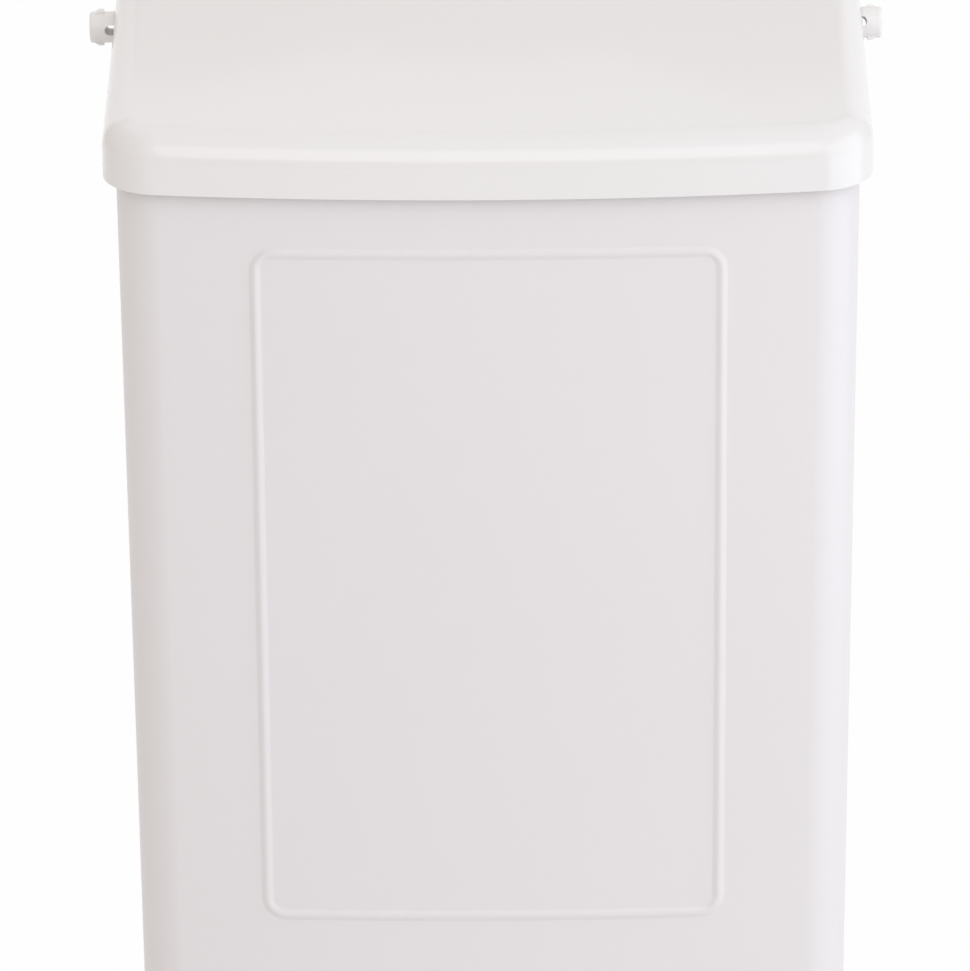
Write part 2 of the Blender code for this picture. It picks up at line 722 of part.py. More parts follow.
def bracket_cheeks(parent):
    """The two ends of the bracket's channel, which stop the rail from sliding sideways."""
    inner_x = RAIL_WIDTH / 2 + HANG_GAP
    cheeks = []
    for side in (-1, 1):
        near_x, far_x = sorted((side * inner_x, side * (inner_x + BRACKET_CHEEK)))
        low = (near_x, BACK_Y + HANG_GAP, SHELF_FOOT_HEIGHT)
        high = (far_x, -BRACKET_PLATE + ROOT, SEAT_HEIGHT - HANG_GAP)
        name = f"bracket_cheek_{len(cheeks) + 1}"
        cheeks.append(add_object(name, box_mesh(name, low, high), parent))
    return cheeks


def screw_places():
    """The two wall screws' names and places across."""
    return (("left", -SCREW_PITCH / 2), ("right", SCREW_PITCH / 2))


def build_bracket(parent, material):
    """The wall plate with its hook, two screw holes and a relief behind each for its plug."""
    foot_height = RAIL_HEIGHT - BRACKET_HEIGHT
    half_width = RAIL_WIDTH / 2 + BRACKET_MARGIN
    outline = rounded_rectangle(half_width, foot_height, RAIL_HEIGHT, BRACKET_CORNER_RADIUS)
    mesh = prism_mesh("wall_bracket", outline, 1, -BRACKET_PLATE, 0.0)
    origin = (0.0, 0.0, BRACKET_MIDDLE_HEIGHT)
    bracket = add_object("wall_bracket", mesh, parent, material, origin)
    combine(bracket, "UNION", bracket_hook(parent), *bracket_cheeks(parent))
    hole = SCREW_DIAMETER / 2 + SCREW_HOLE_CLEARANCE
    relief = PLUG_COLLAR_DIAMETER / 2 + RELIEF_CLEARANCE
    relief_floor_y = -PLUG_COLLAR_THICKNESS - PLUG_SEAT_GAP
    for side, x in screw_places():
        name = f"screw_hole_{side}"
        profile = (
            (-BRACKET_PLATE - OVERRUN, hole),
            (relief_floor_y, hole),
            (relief_floor_y, relief),
            (OVERRUN, relief),
        )
        mesh = turned_mesh(name, profile, 1, (x, SCREW_HEIGHT), SMALL_ROUND_STEPS)
        combine(bracket, "DIFFERENCE", add_object(name, mesh, parent))
    return bracket


def screw_profile():
    """A pan-head screw's turned profile, from the crown of its head to its point."""
    seat_y = -BRACKET_PLATE - SCREW_SEAT_GAP
    head_radius = SCREW_HEAD_DIAMETER / 2
    shank = SCREW_DIAMETER / 2
    profile = []
    for i in range(HEAD_STEPS + 1):
        turn = math.pi / 2 * i / HEAD_STEPS
        round_share = 1 - math.cos(turn)
        flat = head_radius - SCREW_HEAD_HEIGHT / 2
        y = seat_y - SCREW_HEAD_HEIGHT + SCREW_HEAD_HEIGHT / 2 * round_share
        profile.append((y, flat + SCREW_HEAD_HEIGHT / 2 * math.sin(turn)))
    tip_y = seat_y + SCREW_LENGTH
    profile.append((seat_y, head_radius))
    profile.append((seat_y, shank))
    profile.append((tip_y - SCREW_POINT_LENGTH, shank))
    profile.append((tip_y, SCREW_POINT_DIAMETER / 2))
    return profile


def drive_recess(parent, side, x):
    """The cross recess in a screw head, as two crossed slots."""
    start_y = -BRACKET_PLATE - SCREW_SEAT_GAP - SCREW_HEAD_HEIGHT
    slots = []
    for way, across, up in (("level", DRIVE_LENGTH, DRIVE_WIDTH), ("upright", DRIVE_WIDTH, DRIVE_LENGTH)):
        low = (x - across / 2, start_y - OVERRUN, SCREW_HEIGHT - up / 2)
        high = (x + across / 2, start_y + DRIVE_DEPTH, SCREW_HEIGHT + up / 2)
        name = f"drive_{way}_{side}"
        slots.append(add_object(name, box_mesh(name, low, high), parent))
    return slots


def plug_profile():
    """A wall plug's turned profile: a collar, then low ridges along its length."""
    radius = PLUG_DIAMETER / 2
    profile = [
        (-PLUG_COLLAR_THICKNESS, PLUG_COLLAR_DIAMETER / 2),
        (0.0, PLUG_COLLAR_DIAMETER / 2),
        (0.0, radius),
    ]
    y = PLUG_RIDGE_PITCH
    while y + PLUG_RIDGE_PITCH < PLUG_LENGTH:
        profile.append((y, radius))
        profile.append((y, radius + PLUG_RIDGE_RISE))
        y += PLUG_RIDGE_PITCH
        profile.append((y, radius))
    profile.append((PLUG_LENGTH, radius))
    return profile


def build_fixings(parent, steel, nylon):
    """The two wall screws in their plugs."""
    bore = SCREW_DIAMETER / 2 + PLUG_BORE_CLEARANCE
    for side, x in screw_places():
        centre = (x, SCREW_HEIGHT)
        origin = (x, 0.0, SCREW_HEIGHT)
        name = f"wall_screw_{side}"
        mesh = turned_mesh(name, screw_profile(), 1, centre, SMALL_ROUND_STEPS)
        screw = add_object(name, mesh, parent, steel, origin)
        combine(screw, "DIFFERENCE", *drive_recess(parent, side, x))
        name = f"wall_plug_{side}"
        mesh = turned_mesh(name, plug_profile(), 1, centre, SMALL_ROUND_STEPS)
        plug = add_object(name, mesh, parent, nylon, origin)
        name = f"plug_bore_{side}"
        profile = ((-OVERRUN, bore), (PLUG_LENGTH + OVERRUN, bore))
        mesh = turned_mesh(name, profile, 1, centre, SMALL_ROUND_STEPS)
        hole = add_object(name, mesh, parent)
        name = f"plug_split_{side}"
        reach = PLUG_DIAMETER / 2 + OVERRUN
        low = (x - PLUG_SPLIT / 2, PLUG_LENGTH - PLUG_SPLIT_LENGTH, SCREW_HEIGHT - reach)
        high = (x + PLUG_SPLIT / 2, PLUG_LENGTH + OVERRUN, SCREW_HEIGHT + reach)
        split = add_object(name, box_mesh(name, low, high), parent)
        combine(plug, "DIFFERENCE", hole, split)


def main():
    """Builds every piece under one empty at the container's foot."""
    clear_scene()
    foot = bpy.data.objects.new("container_foot", None)
    bpy.context.scene.collection.objects.link(foot)
    foot.location = (0.0, 0.0, -BRACKET_MIDDLE_HEIGHT)
    white = plastic("container_white", (0.86, 0.85, 0.855), 0.30)
    lid_white = plastic("lid_white", (0.88, 0.87, 0.872), 0.24)
    nylon = plastic("pin_nylon", (0.86, 0.845, 0.80), 0.38)
    ring_grey = plastic("ring_grey", (0.74, 0.74, 0.75), 0.45)
    bracket_white = plastic("bracket_white", (0.84, 0.84, 0.84), 0.42)
    plug_grey = plastic("plug_grey", (0.55, 0.55, 0.54), 0.50)
    bore = hinge_bore(foot)
    build_container(foot, bore, white)
    build_lid(foot, bore, lid_white)
    build_pins(foot, nylon)
    build_bag_ring(foot, ring_grey)
    build_bracket(foot, bracket_white)
    build_fixings(foot, plated_steel("screw_steel"), plug_grey)


main()
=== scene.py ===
"""Dresses a wall-hung sanitary container: moulded shells, snap pins, bag ring and wall fixings.

Every length is in metres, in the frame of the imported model: +Z up, +Y into the wall. Heights in
the classes are measured from the container's foot, and FOOT_Z turns them into places.
"""

import logging
import math
from collections.abc import Callable, Iterable, Mapping, Sequence
from dataclasses import dataclass, replace
from enum import Enum
from functools import cache

import bmesh
import bpy
from mathutils import Matrix, Vector


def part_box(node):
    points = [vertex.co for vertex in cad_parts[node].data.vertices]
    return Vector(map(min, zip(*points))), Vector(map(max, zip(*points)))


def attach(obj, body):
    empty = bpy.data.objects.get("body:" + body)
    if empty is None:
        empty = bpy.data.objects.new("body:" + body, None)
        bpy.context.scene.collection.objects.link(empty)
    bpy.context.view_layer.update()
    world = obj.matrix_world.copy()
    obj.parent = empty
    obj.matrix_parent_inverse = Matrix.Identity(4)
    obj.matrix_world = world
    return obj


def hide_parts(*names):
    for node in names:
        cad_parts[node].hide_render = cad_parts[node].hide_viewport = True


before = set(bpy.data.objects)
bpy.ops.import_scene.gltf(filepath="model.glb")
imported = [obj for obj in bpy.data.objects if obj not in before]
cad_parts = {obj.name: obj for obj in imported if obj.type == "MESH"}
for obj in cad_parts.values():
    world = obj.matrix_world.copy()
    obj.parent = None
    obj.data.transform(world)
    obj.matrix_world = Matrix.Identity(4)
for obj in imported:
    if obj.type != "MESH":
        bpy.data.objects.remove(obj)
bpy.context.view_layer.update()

LOG = logging.getLogger("container")
FOOT_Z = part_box("container")[0].z
OVERRUN = 0.004
SMOOTH_ANGLE = math.radians(34.0)
BEVEL_ANGLE = math.radians(50.0)
NORMAL_WEIGHT = 60
MERGE = 0.00001
LEAST_CORNER = 0.0006
ACROSS = (1.0, 0.0, 0.0)
BACK = (0.0, 1.0, 0.0)
UP = (0.0, 0.0, 1.0)
NO_CHANGE = (1.0, 1.0, 1.0)
WHITE = (1.0, 1.0, 1.0, 1.0)

Piece = bpy.types.Object
Span = tuple[float, float]
Place = tuple[float, float]
Point = tuple[float, float, float]
Colour = tuple[float, float, float]


class Side(Enum):
    """The two sides of the container, by the sign of X."""

    LEFT = -1
    RIGHT = 1

    @property
    def label(self) -> str:
        """The side's part of a name."""
        return self.name.lower()


class Cut(Enum):
    """How one solid changes another."""

    TAKE = "DIFFERENCE"
    JOIN = "UNION"


class Element(Enum):
    """What a mesh is made of, by the name that each kind has in bmesh."""

    VERT = "verts"
    EDGE = "edges"
    FACE = "faces"


class Wire:
    """A shader socket that can be used in sums, each of which adds its Math node."""

    def __init__(self, board: "NodeBoard", socket: bpy.types.NodeSocket) -> None:
        """Keeps the socket and the board that new nodes go on."""
        self.board = board
        self.socket = socket

    def __add__(self, other: "Wire | float") -> "Wire":
        """This value plus another."""
        return self.board.reckon("ADD", self, other)

    def __sub__(self, other: "Wire | float") -> "Wire":
        """This value less another."""
        return self.board.reckon("SUBTRACT", self, other)

    def __rsub__(self, other: float) -> "Wire":
        """A number less this value."""
        return self.board.reckon("SUBTRACT", other, self)

    def __mul__(self, other: "Wire | float") -> "Wire":
        """This value times another."""
        return self.board.reckon("MULTIPLY", self, other)

    __radd__ = __add__
    __rmul__ = __mul__


class NodeBoard:
    """The node tree of one material or world."""

    def __init__(self, owner: bpy.types.Material | bpy.types.World) -> None:
        """Turns the owner's nodes on.

        Args:
            owner: The material or world.
        """
        owner.use_nodes = True
        self.owner = owner
        self.tree = owner.node_tree

    def node(
        self,
        kind: str,
        sockets: Mapping[str | int, object] | None = None,
        result: str | int | None = 0,
        **settings: object,
    ) -> Wire | None:
        """Adds any node.

        Args:
            kind: The node's type.
            sockets: Values or wires for its inputs, by name or place.
            result: The output that is wanted, or None for a node that has none.
            **settings: Its own settings, set first.

        Returns:
            That output.
        """
        made = self.tree.nodes.new(kind)
        for key, value in settings.items():
            setattr(made, key, value)
        for key, value in (sockets or {}).items():
            self.feed(made.inputs[key], value)
        return None if result is None else Wire(self, made.outputs[result])

    def feed(self, socket: bpy.types.NodeSocket, value: object) -> None:
        """Sets a socket to a value, or links a wire to it.

        Args:
            socket: The input.
            value: A wire, or a plain value.
        """
        if isinstance(value, Wire):
            self.tree.links.new(value.socket, socket)
        else:
            socket.default_value = value

    def dress(self, values: Mapping[str, object]) -> Wire:
        """Feeds a new material's Principled shader.

        Args:
            values: Values or wires for its inputs, by name.

        Returns:
            The shader's output.
        """
        shader = self.tree.nodes["Principled BSDF"]
        for name, value in values.items():
            self.feed(shader.inputs[name], value)
        return Wire(self, shader.outputs[0])

    def blend(self, share: Wire, low: Colour, high: Colour) -> Wire:
        """Mixes two colours by a share, with the Mix node's enabled sockets.

        Args:
            share: How much of the second colour there is.
            low: The first colour.
            high: The second colour.

        Returns:
            The mixed colour.
        """
        made = self.tree.nodes.new("ShaderNodeMix")
        made.data_type = "RGBA"
        for name, value in {"Factor": share, "A": (*low, 1.0), "B": (*high, 1.0)}.items():
            self.feed(next(s for s in made.inputs if s.name == name and s.enabled), value)
        return Wire(self, next(s for s in made.outputs if s.enabled))

    def reckon(self, operation: str, *values: Wire | float) -> Wire:
        """Adds one Math node."""
        return self.node("ShaderNodeMath", dict(enumerate(values)), operation=operation)

    def noise(self, place: Wire, scale: float, detail: float = 2.0) -> Wire:
        """Smooth noise of about 0 to 1 at a place on the piece."""
        sockets = {"Scale": scale, "Detail": detail, "Vector": place}
        return self.node("ShaderNodeTexNoise", sockets, "Fac")

    def seen(self) -> tuple[Wire, Wire]:
        """Finds which rays come from the camera, and which by way of gloss or glass.

        Returns:
            Both as shares of 0 or 1.
        """
        names = ("Is Camera Ray", "Is Glossy Ray", "Is Transmission Ray")
        camera, glossy, through = (self.node("ShaderNodeLightPath", None, name) for name in names)
        return camera, self.reckon("MAXIMUM", glossy, through)

    def step(self, value: Wire, low: float, high: float) -> Wire:
        """A smooth rise from 0 to 1 as a value goes from one limit to another."""
        sockets = {"Value": value, "From Min": low, "From Max": high}
        return self.node("ShaderNodeMapRange", sockets, interpolation_type="SMOOTHSTEP")


@dataclass(frozen=True)
class MouldedPlastic:
    """Injection-moulded plastic: a little cloudy, with a fine even tooth and soft flow marks."""

    name: str
    colour: Colour
    cloud: Colour
    roughness: float
    roughness_swing: float = 0.05
    cloud_scale: float = 11.0
    wear_scale: float = 70.0
    wear_detail: float = 4.0
    tooth_scale: float = 900.0
    tooth_depth: float = 0.0000025
    flow_scale: float = 14.0
    flow_detail: float = 1.0
    flow_depth: float = 0.00006
    specular: float = 0.5
    coat: float = 0.0
    coat_roughness: float = 0.06

    @cache
    def make(self) -> bpy.types.Material:
        """Builds the material, once.

        Returns:
            The material.
        """
        board = NodeBoard(bpy.data.materials.new(self.name))
        place = board.node("ShaderNodeTexCoord", result="Object")
        cloud = board.noise(place, self.cloud_scale)
        wear = board.noise(place, self.wear_scale, self.wear_detail)
        tooth = board.noise(place, self.tooth_scale)
        flow = board.noise(place, self.flow_scale, self.flow_detail)
        height = tooth * self.tooth_depth + flow * self.flow_depth
        sockets = {"Height": height, "Strength": 1.0, "Distance": 1.0}
        board.dress({
            "Base Color": board.blend(cloud, self.colour, self.cloud),
            "Roughness": self.roughness + (wear - 0.5) * self.roughness_swing,
            "Specular IOR Level": self.specular,
            "Coat Weight": self.coat,
            "Coat Roughness": self.coat_roughness,
            "Normal": board.node("ShaderNodeBump", sockets),
        })
        return board.owner


@dataclass(frozen=True)
class ZincPlate:
    """Bright zinc plating on small steel parts, slightly clouded."""

    name: str
    colour: Colour = (0.66, 0.66, 0.64)
    dull: Colour = (0.52, 0.53, 0.53)
    roughness: float = 0.30
    roughness_swing: float = 0.12
    cloud_scale: float = 420.0
    cloud_detail: float = 3.0

    @cache
    def make(self) -> bpy.types.Material:
        """Builds the material, once.

        Returns:
            The material.
        """
        board = NodeBoard(bpy.data.materials.new(self.name))
        place = board.node("ShaderNodeTexCoord", result="Object")
        cloud = board.noise(place, self.cloud_scale, self.cloud_detail)
        board.dress({
            "Base Color": board.blend(cloud, self.colour, self.dull),
            "Metallic": 1.0,
            "Roughness": self.roughness + cloud * self.roughness_swing,
        })
        return board.owner


Finish = MouldedPlastic | ZincPlate


@dataclass(frozen=True)
class FinishSet:
    """The finishes of the whole object, each with the name of its material."""

    container: MouldedPlastic = MouldedPlastic(
        "container_white", (0.745, 0.708, 0.722), (0.730, 0.694, 0.708), 0.34
    )
    lid: MouldedPlastic = MouldedPlastic(
        "lid_white", (0.770, 0.742, 0.742), (0.756, 0.728, 0.728), 0.20, specular=0.30, coat=0.7
    )
    pins: MouldedPlastic = MouldedPlastic(
        "pin_nylon", (0.805, 0.782, 0.770), (0.791, 0.768, 0.754), 0.40, tooth_scale=4200.0
    )
    ring: MouldedPlastic = MouldedPlastic(
        "ring_grey", (0.56, 0.56, 0.57), (0.53, 0.53, 0.54), 0.48
    )
    bracket: MouldedPlastic = MouldedPlastic(
        "bracket_white", (0.70, 0.70, 0.70), (0.68, 0.68, 0.68), 0.46
    )
    plugs: MouldedPlastic = MouldedPlastic(
        "plug_grey", (0.34, 0.34, 0.33), (0.30, 0.30, 0.30), 0.52
    )
    screws: ZincPlate = ZincPlate("screw_steel")


def deselect() -> None:
    """Leaves nothing selected, in object mode."""
    if bpy.context.object and bpy.context.object.mode != "OBJECT":
        bpy.ops.object.mode_set(mode="OBJECT")
    bpy.ops.object.select_all(action="DESELECT")


def work_on(piece: Piece) -> None:
    """Makes one object the selected and active one.

    Args:
        piece: The object.
    """
    deselect()
    piece.select_set(True)
    bpy.context.view_layer.objects.active = piece


def edit(piece: Piece) -> None:
    """Opens one object in edit mode."""
    work_on(piece)
    bpy.ops.object.mode_set(mode="EDIT")


def settle(piece: Piece) -> None:
    """Puts an object's place, turn and size into its mesh."""
    work_on(piece)
    bpy.ops.object.transform_apply(location=True, rotation=True, scale=True)


def add_shape(
    name: str, kind: Callable[..., set[str]], scale: Sequence[float] = NO_CHANGE, **settings: object
) -> Piece:
    """Adds a basic shape by its operator, with its place, turn and size in its mesh.

    Args:
        name: The new object's name.
        kind: The operator that adds the shape.
        scale: How many times longer each side becomes.
        **settings: The operator's values.

    Returns:
        The shape, selected and active.
    """
    deselect()
    kind(**settings)
    piece = bpy.context.object
    piece.name = name
    piece.scale = scale
    settle(piece)
    return piece


def pick(piece: Piece, kind: Element, wanted: Callable[..., bool]) -> None:
    """Selects an edited mesh's vertices, edges or faces by a test of each.

    Args:
        piece: The object, in edit mode.
        kind: What to select.
        wanted: Says whether an element is wanted.
    """
    bpy.ops.mesh.select_mode(type=kind.name)
    bpy.ops.mesh.select_all(action="DESELECT")
    shape = bmesh.from_edit_mesh(piece.data)
    for element in getattr(shape, kind.value):
        if wanted(element):
            element.select_set(True)
    bmesh.update_edit_mesh(piece.data)


def is_open(edge: bmesh.types.BMEdge) -> bool:
    """Whether an edge has a face on one side only."""
    return edge.is_boundary


def pick_all() -> None:
    """Selects the whole of the edited mesh."""
    bpy.ops.mesh.select_all(action="SELECT")


def slice_picked(place: Point, normal: Point, clear: bool = False) -> None:
    """Cuts what is selected along a plane, and clears what lies past it if that is asked."""
    bpy.ops.mesh.bisect(plane_co=place, plane_no=normal, clear_outer=clear)


def seed_point(name: str, place: Point) -> Piece:
    """Starts a mesh as one selected vertex, in edit mode.

    Args:
        name: The new object's name.
        place: Where the vertex stands.

    Returns:
        The object, open in edit mode.
    """
    piece = add_shape(name, bpy.ops.mesh.primitive_plane_add, size=MERGE, location=place)
    edit(piece)
    bpy.ops.mesh.select_mode(type="VERT")
    pick_all()
    bpy.ops.mesh.merge(type="CENTER")
    return piece


def draw_on(step: Point) -> None:
    """Extrudes what is selected by a step."""
    bpy.ops.mesh.extrude_region_move(TRANSFORM_OT_translate={"value": step})


def swing(steps: int, turn: float, centre: Point, axis: Point = UP) -> None:
    """Spins what is selected round a centre, anticlockwise seen against the axis."""
    bpy.ops.mesh.spin(steps=steps, angle=-turn, center=centre, axis=axis)


def close_mesh() -> None:
    """Merges doubles and turns all faces outwards, then leaves edit mode."""
    pick_all()
    bpy.ops.mesh.remove_doubles(threshold=MERGE)
    bpy.ops.mesh.normals_make_consistent(inside=False)
    bpy.ops.object.mode_set(mode="OBJECT")


def apply_modifier(piece: Piece, kind: str, **settings: object) -> None:
    """Adds one modifier to a piece, with its settings, and applies it.

    Args:
        piece: The piece to change.
        kind: The modifier's type.
        **settings: The modifier's values.
    """
    work_on(piece)
    modifier = piece.modifiers.new(kind.title(), kind)
    for key, value in settings.items():
        setattr(modifier, key, value)
    bpy.ops.object.modifier_apply(modifier=modifier.name)


def carve(piece: Piece, how: Cut, tools: Iterable[Piece]) -> None:
    """Takes solids away from a piece, or joins them to it, and deletes them.

    Args:
        piece: The piece to change.
        how: Whether the solids are taken away or joined.
        tools: The solids, in order.
    """
    for tool in tools:
        apply_modifier(piece, "BOOLEAN", operation=how.value, object=tool, solver="EXACT")
        bpy.data.objects.remove(tool, do_unlink=True)


def soften_edges(piece: Piece, width: float, segments: int = 2) -> None:
    """Rounds a piece's sharp edges slightly.

    Args:
        piece: The piece to change.
        width: The rounding's width.
        segments: How many faces cross it.
    """
    apply_modifier(
        piece, "BEVEL", width=width, segments=segments, limit_method="ANGLE",
        angle_limit=BEVEL_ANGLE, harden_normals=False, use_clamp_overlap=True,
    )


def finish_piece(piece: Piece, body: str, finish: Finish, node: str) -> None:
    """Shades a finished piece, gives it its material and hands it to the frame.

    Args:
        piece: The piece, with its place in its mesh.
        body: The body that it moves with.
        finish: Its finish, which has the name of its material.
        node: The CAD node that it stands for.
    """
    work_on(piece)
    bpy.ops.object.shade_smooth_by_angle(angle=SMOOTH_ANGLE, keep_sharp_edges=False)
    apply_modifier(piece, "WEIGHTED_NORMAL", keep_sharp=True, weight=NORMAL_WEIGHT)
    piece.data.materials.clear()
    piece.data.materials.append(finish.make())
    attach(piece, body)
    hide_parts(node)
    LOG.info("%s: %d faces on %s", piece.name, len(piece.data.polygons), body)


def block(name: str, low: Point, high: Point) -> Piece:
    """A block between two opposite corners, with its place in its mesh.

    Args:
        name: The new object's name.
        low: One corner.
        high: The corner opposite it.

    Returns:
        The block.
    """
    middle = [(a + b) / 2 for a, b in zip(low, high)]
    lengths = [abs(b - a) for a, b in zip(low, high)]
    return add_shape(name, bpy.ops.mesh.primitive_cube_add, lengths, size=1.0, location=middle)


def rod(name: str, radius: float, ends: tuple[Point, Point], sides: int = 64) -> Piece:
    """A round rod between two points, with its place in its mesh.

    Args:
        name: The new object's name.
        radius: Its radius.
        ends: The middles of its ends.
        sides: How many faces go round.

    Returns:
        The rod.
    """
    start, end = Vector(ends[0]), Vector(ends[1])
    along = end - start
    return add_shape(
        name, bpy.ops.mesh.primitive_cylinder_add, vertices=sides, radius=radius,
        depth=along.length, location=(start + end) / 2,
        rotation=along.to_track_quat("Z", "Y").to_euler(),
    )


def sweep_profile(name: str, points: Sequence[Point], step: Point) -> Piece:
    """A closed profile drawn point by point and swept straight.

    Args:
        name: The new object's name.
        points: The profile's corners, in order.
        step: How far it is swept, and which way.

    Returns:
        The closed solid.
    """
    piece = seed_point(name, points[0])
    for here, there in zip(points, points[1:]):
        draw_on(tuple(b - a for a, b in zip(here, there)))
    pick_all()
    bpy.ops.mesh.edge_face_add()
    draw_on(step)
    close_mesh()
    return piece


def sweep_across(name: str, x: float, width: float, places: Sequence[Place]) -> Piece:
    """A closed profile of places in Y and Z, swept across from one X."""
    return sweep_profile(name, [(x, y, z) for y, z in places], (width, 0.0, 0.0))


def turn_profile(
    name: str, points: Sequence[Place], centre: Point, axis: Point, sides: int
) -> Piece:
    """Turns a profile round an axis that lies along X or Y.

    Args:
        name: The new object's name.
        points: Pairs of a place along the axis and a radius, from axis to axis.
        centre: A point on the axis, where places along it are zero.
        axis: The axis's direction.
        sides: How many faces go round.

    Returns:
        The turned solid, with its place in its mesh.
    """
    middle, out, up = Vector(centre), Vector(axis), Vector(UP)
    places = [middle + out * along + up * radius for along, radius in points]
    piece = seed_point(name, tuple(places[0]))
    for here, there in zip(places, places[1:]):
        draw_on(tuple(there - here))
    pick_all()
    swing(sides, 2 * math.pi, centre, axis)
    close_mesh()
    return piece


@dataclass
class Outline:
    """A plan seen from above: bowed front, round corners, straight sides and back."""

    half_width: float
    front_y: float
    back_y: float
    corner: float
    back_corner: float
    bow: float
    bow_steps: int = 26
    corner_steps: int = 14
    side_steps: int = 14
    back_corner_steps: int = 6
    back_steps: int = 10

    def inset(self, distance: float) -> "Outline":
        """The same outline, drawn further in by a distance all round.

        Args:
            distance: How far in.

        Returns:
            The smaller outline.
        """
        return replace(
            self,
            half_width=self.half_width - distance,
            front_y=self.front_y + distance,
            back_y=self.back_y - distance,
            corner=max(self.corner - distance, LEAST_CORNER),
            back_corner=max(self.back_corner - distance, LEAST_CORNER),
            bow=self.bow - distance,
        )

    def prism(self, name: str, ends: Span) -> Piece:
        """The outline swept between two heights, as a closed solid.

        Args:
            name: The new object's name.
            ends: The two heights.

        Returns:
            The closed solid.
        """
        piece = self.draw(name, ends[0])
        draw_on((0.0, 0.0, ends[1] - ends[0]))
        close_mesh()
        return piece

    def draw(self, name: str, z: float) -> Piece:
        """Draws half the outline by spins and straight runs, mirrors it and fills it.

        Args:
            name: The new object's name.
            z: The height that it lies at.

        Returns:
            The object, in edit mode with its one face selected and facing up.
        """
        bow_y = self.front_y + self.bow
        corner_x = self.half_width - self.corner
        corner_y = bow_y - math.sqrt((self.bow - self.corner) ** 2 - corner_x**2)
        meet = math.asin(corner_x / (self.bow - self.corner))
        run = (self.back_y - self.back_corner - corner_y) / self.side_steps
        back_x = self.half_width - self.back_corner
        piece = seed_point(name, (0.0, self.front_y, z))
        swing(self.bow_steps, meet, (0.0, bow_y, z))
        swing(self.corner_steps, math.pi / 2 - meet, (corner_x, corner_y, z))
        for _ in range(self.side_steps):
            draw_on((0.0, run, 0.0))
        swing(self.back_corner_steps, math.pi / 2, (back_x, self.back_y - self.back_corner, z))
        for _ in range(self.back_steps):
            draw_on((-back_x / self.back_steps, 0.0, 0.0))
        pick_all()
        bpy.ops.mesh.duplicate()
        bpy.ops.transform.resize(value=(-1.0, 1.0, 1.0), center_override=(0.0, 0.0, 0.0))
        pick_all()
        bpy.ops.mesh.remove_doubles(threshold=MERGE)
        bpy.ops.mesh.edge_face_add()
        bpy.ops.mesh.select_mode(type="FACE")
        if any(face.normal.z < 0 for face in bmesh.from_edit_mesh(piece.data).faces):
            bpy.ops.mesh.flip_normals()
        return piece


def quarter_turns(steps: int) -> list[float]:
    """The angles of a quarter circle in even steps, with both ends."""
    return [math.pi / 2 * i / steps for i in range(steps + 1)]


def inset_along(section: Sequence[Place]) -> None:
    """Insets the selected face along a section, whose places go inwards and up."""
    for (here, low), (there, high) in zip(section, section[1:]):
        bpy.ops.mesh.inset(thickness=there - here, depth=high - low)


def round_over(radius: float, steps: int) -> None:
    """Rounds the rim of the selected face by a quarter circle."""
    turns = quarter_turns(steps)
    inset_along([(radius * (1 - math.cos(t)), radius * math.sin(t)) for t in turns])


@dataclass
class Profile:
    """The sizes that pieces share, and the heights of rim and lid at any depth."""

    rim_width: float = 0.2034
    rim_depth: float = 0.1180
    back_y: float = -0.0080
    overhang: float = 0.0033
    wall: float = 0.0022
    edge_height: float = 0.2423
    edge_slope: float = math.radians(6.0)
    shoulder_rise: float = 0.0080
    shoulder_radius: float = 0.0080
    slope: float = math.radians(6.8)
    sweep: float = 0.0028
    crown: float = 0.0012
    hinge_setback: float = 0.0090
    hinge_rise: float = 0.0192
    bore_radius: float = 0.0046
    gap: float = 0.0003
    plate: float = 0.0025
    rail_width: float = 0.0700
    rail_top: float = 0.0024
    rail_lip: float = 0.0022
    lip_height: float = 0.0100
    corner: float = 0.0130
    bow: float = 0.800

    @property
    def front_y(self) -> float:
        """The container's front at its rim."""
        return self.back_y - self.rim_depth

    @property
    def lid_front_y(self) -> float:
        """The lid's front."""
        return self.front_y - self.overhang

    @property
    def hinge_y(self) -> float:
        """The hinge axis, across."""
        return self.back_y - self.hinge_setback

    @property
    def hinge_height(self) -> float:
        """The hinge axis, up."""
        return self.edge_height + self.hinge_rise

    @property
    def hinge_centre(self) -> Point:
        """The middle of the hinge axis."""
        return (0.0, self.hinge_y, FOOT_Z + self.hinge_height)

    def hinge_bore(self, name: str) -> Piece:
        """What bores a shell for the pins."""
        _, y, z = self.hinge_centre
        return rod(name, self.bore_radius, ((-self.rim_width, y, z), (self.rim_width, y, z)))

    def shoulder(self, y: float) -> float:
        """Height at which the lid's sides start to turn into its top.

        Args:
            y: The place from front to back.

        Returns:
            The height above the container's foot.
        """
        back = y - self.lid_front_y
        sweep = self.sweep * (back / (self.back_y - self.lid_front_y)) ** 3
        return self.edge_height + self.shoulder_rise + back * math.tan(self.slope) + sweep

    def edge(self, y: float) -> float:
        """Height of the lid's lower edge."""
        return self.edge_height + (y - self.lid_front_y) * math.tan(self.edge_slope)

    @property
    def rim_lift(self) -> float:
        """How far the rim stands above the lid's shoulder, close under its inner rounding.

        Returns:
            The distance upwards.
        """
        inner = self.shoulder_radius - self.wall
        inwards = inner - (self.overhang - self.wall)
        return math.sqrt((inner - self.gap) ** 2 - inwards**2)

    @property
    def rear_radius(self) -> float:
        """Radius of the rim behind the hinge, about the hinge axis."""
        return self.shoulder(self.hinge_y) + self.rim_lift - self.hinge_height

    def rim(self, y: float) -> float:
        """Height of the container's rim: under the lid, then rounded about the hinge axis.

        Args:
            y: The place from front to back.

        Returns:
            The height above the container's foot.
        """
        if y <= self.hinge_y:
            return self.shoulder(y) + self.rim_lift
        behind = min(y - self.hinge_y, self.rear_radius)
        return self.hinge_height + math.sqrt(self.rear_radius**2 - behind**2)


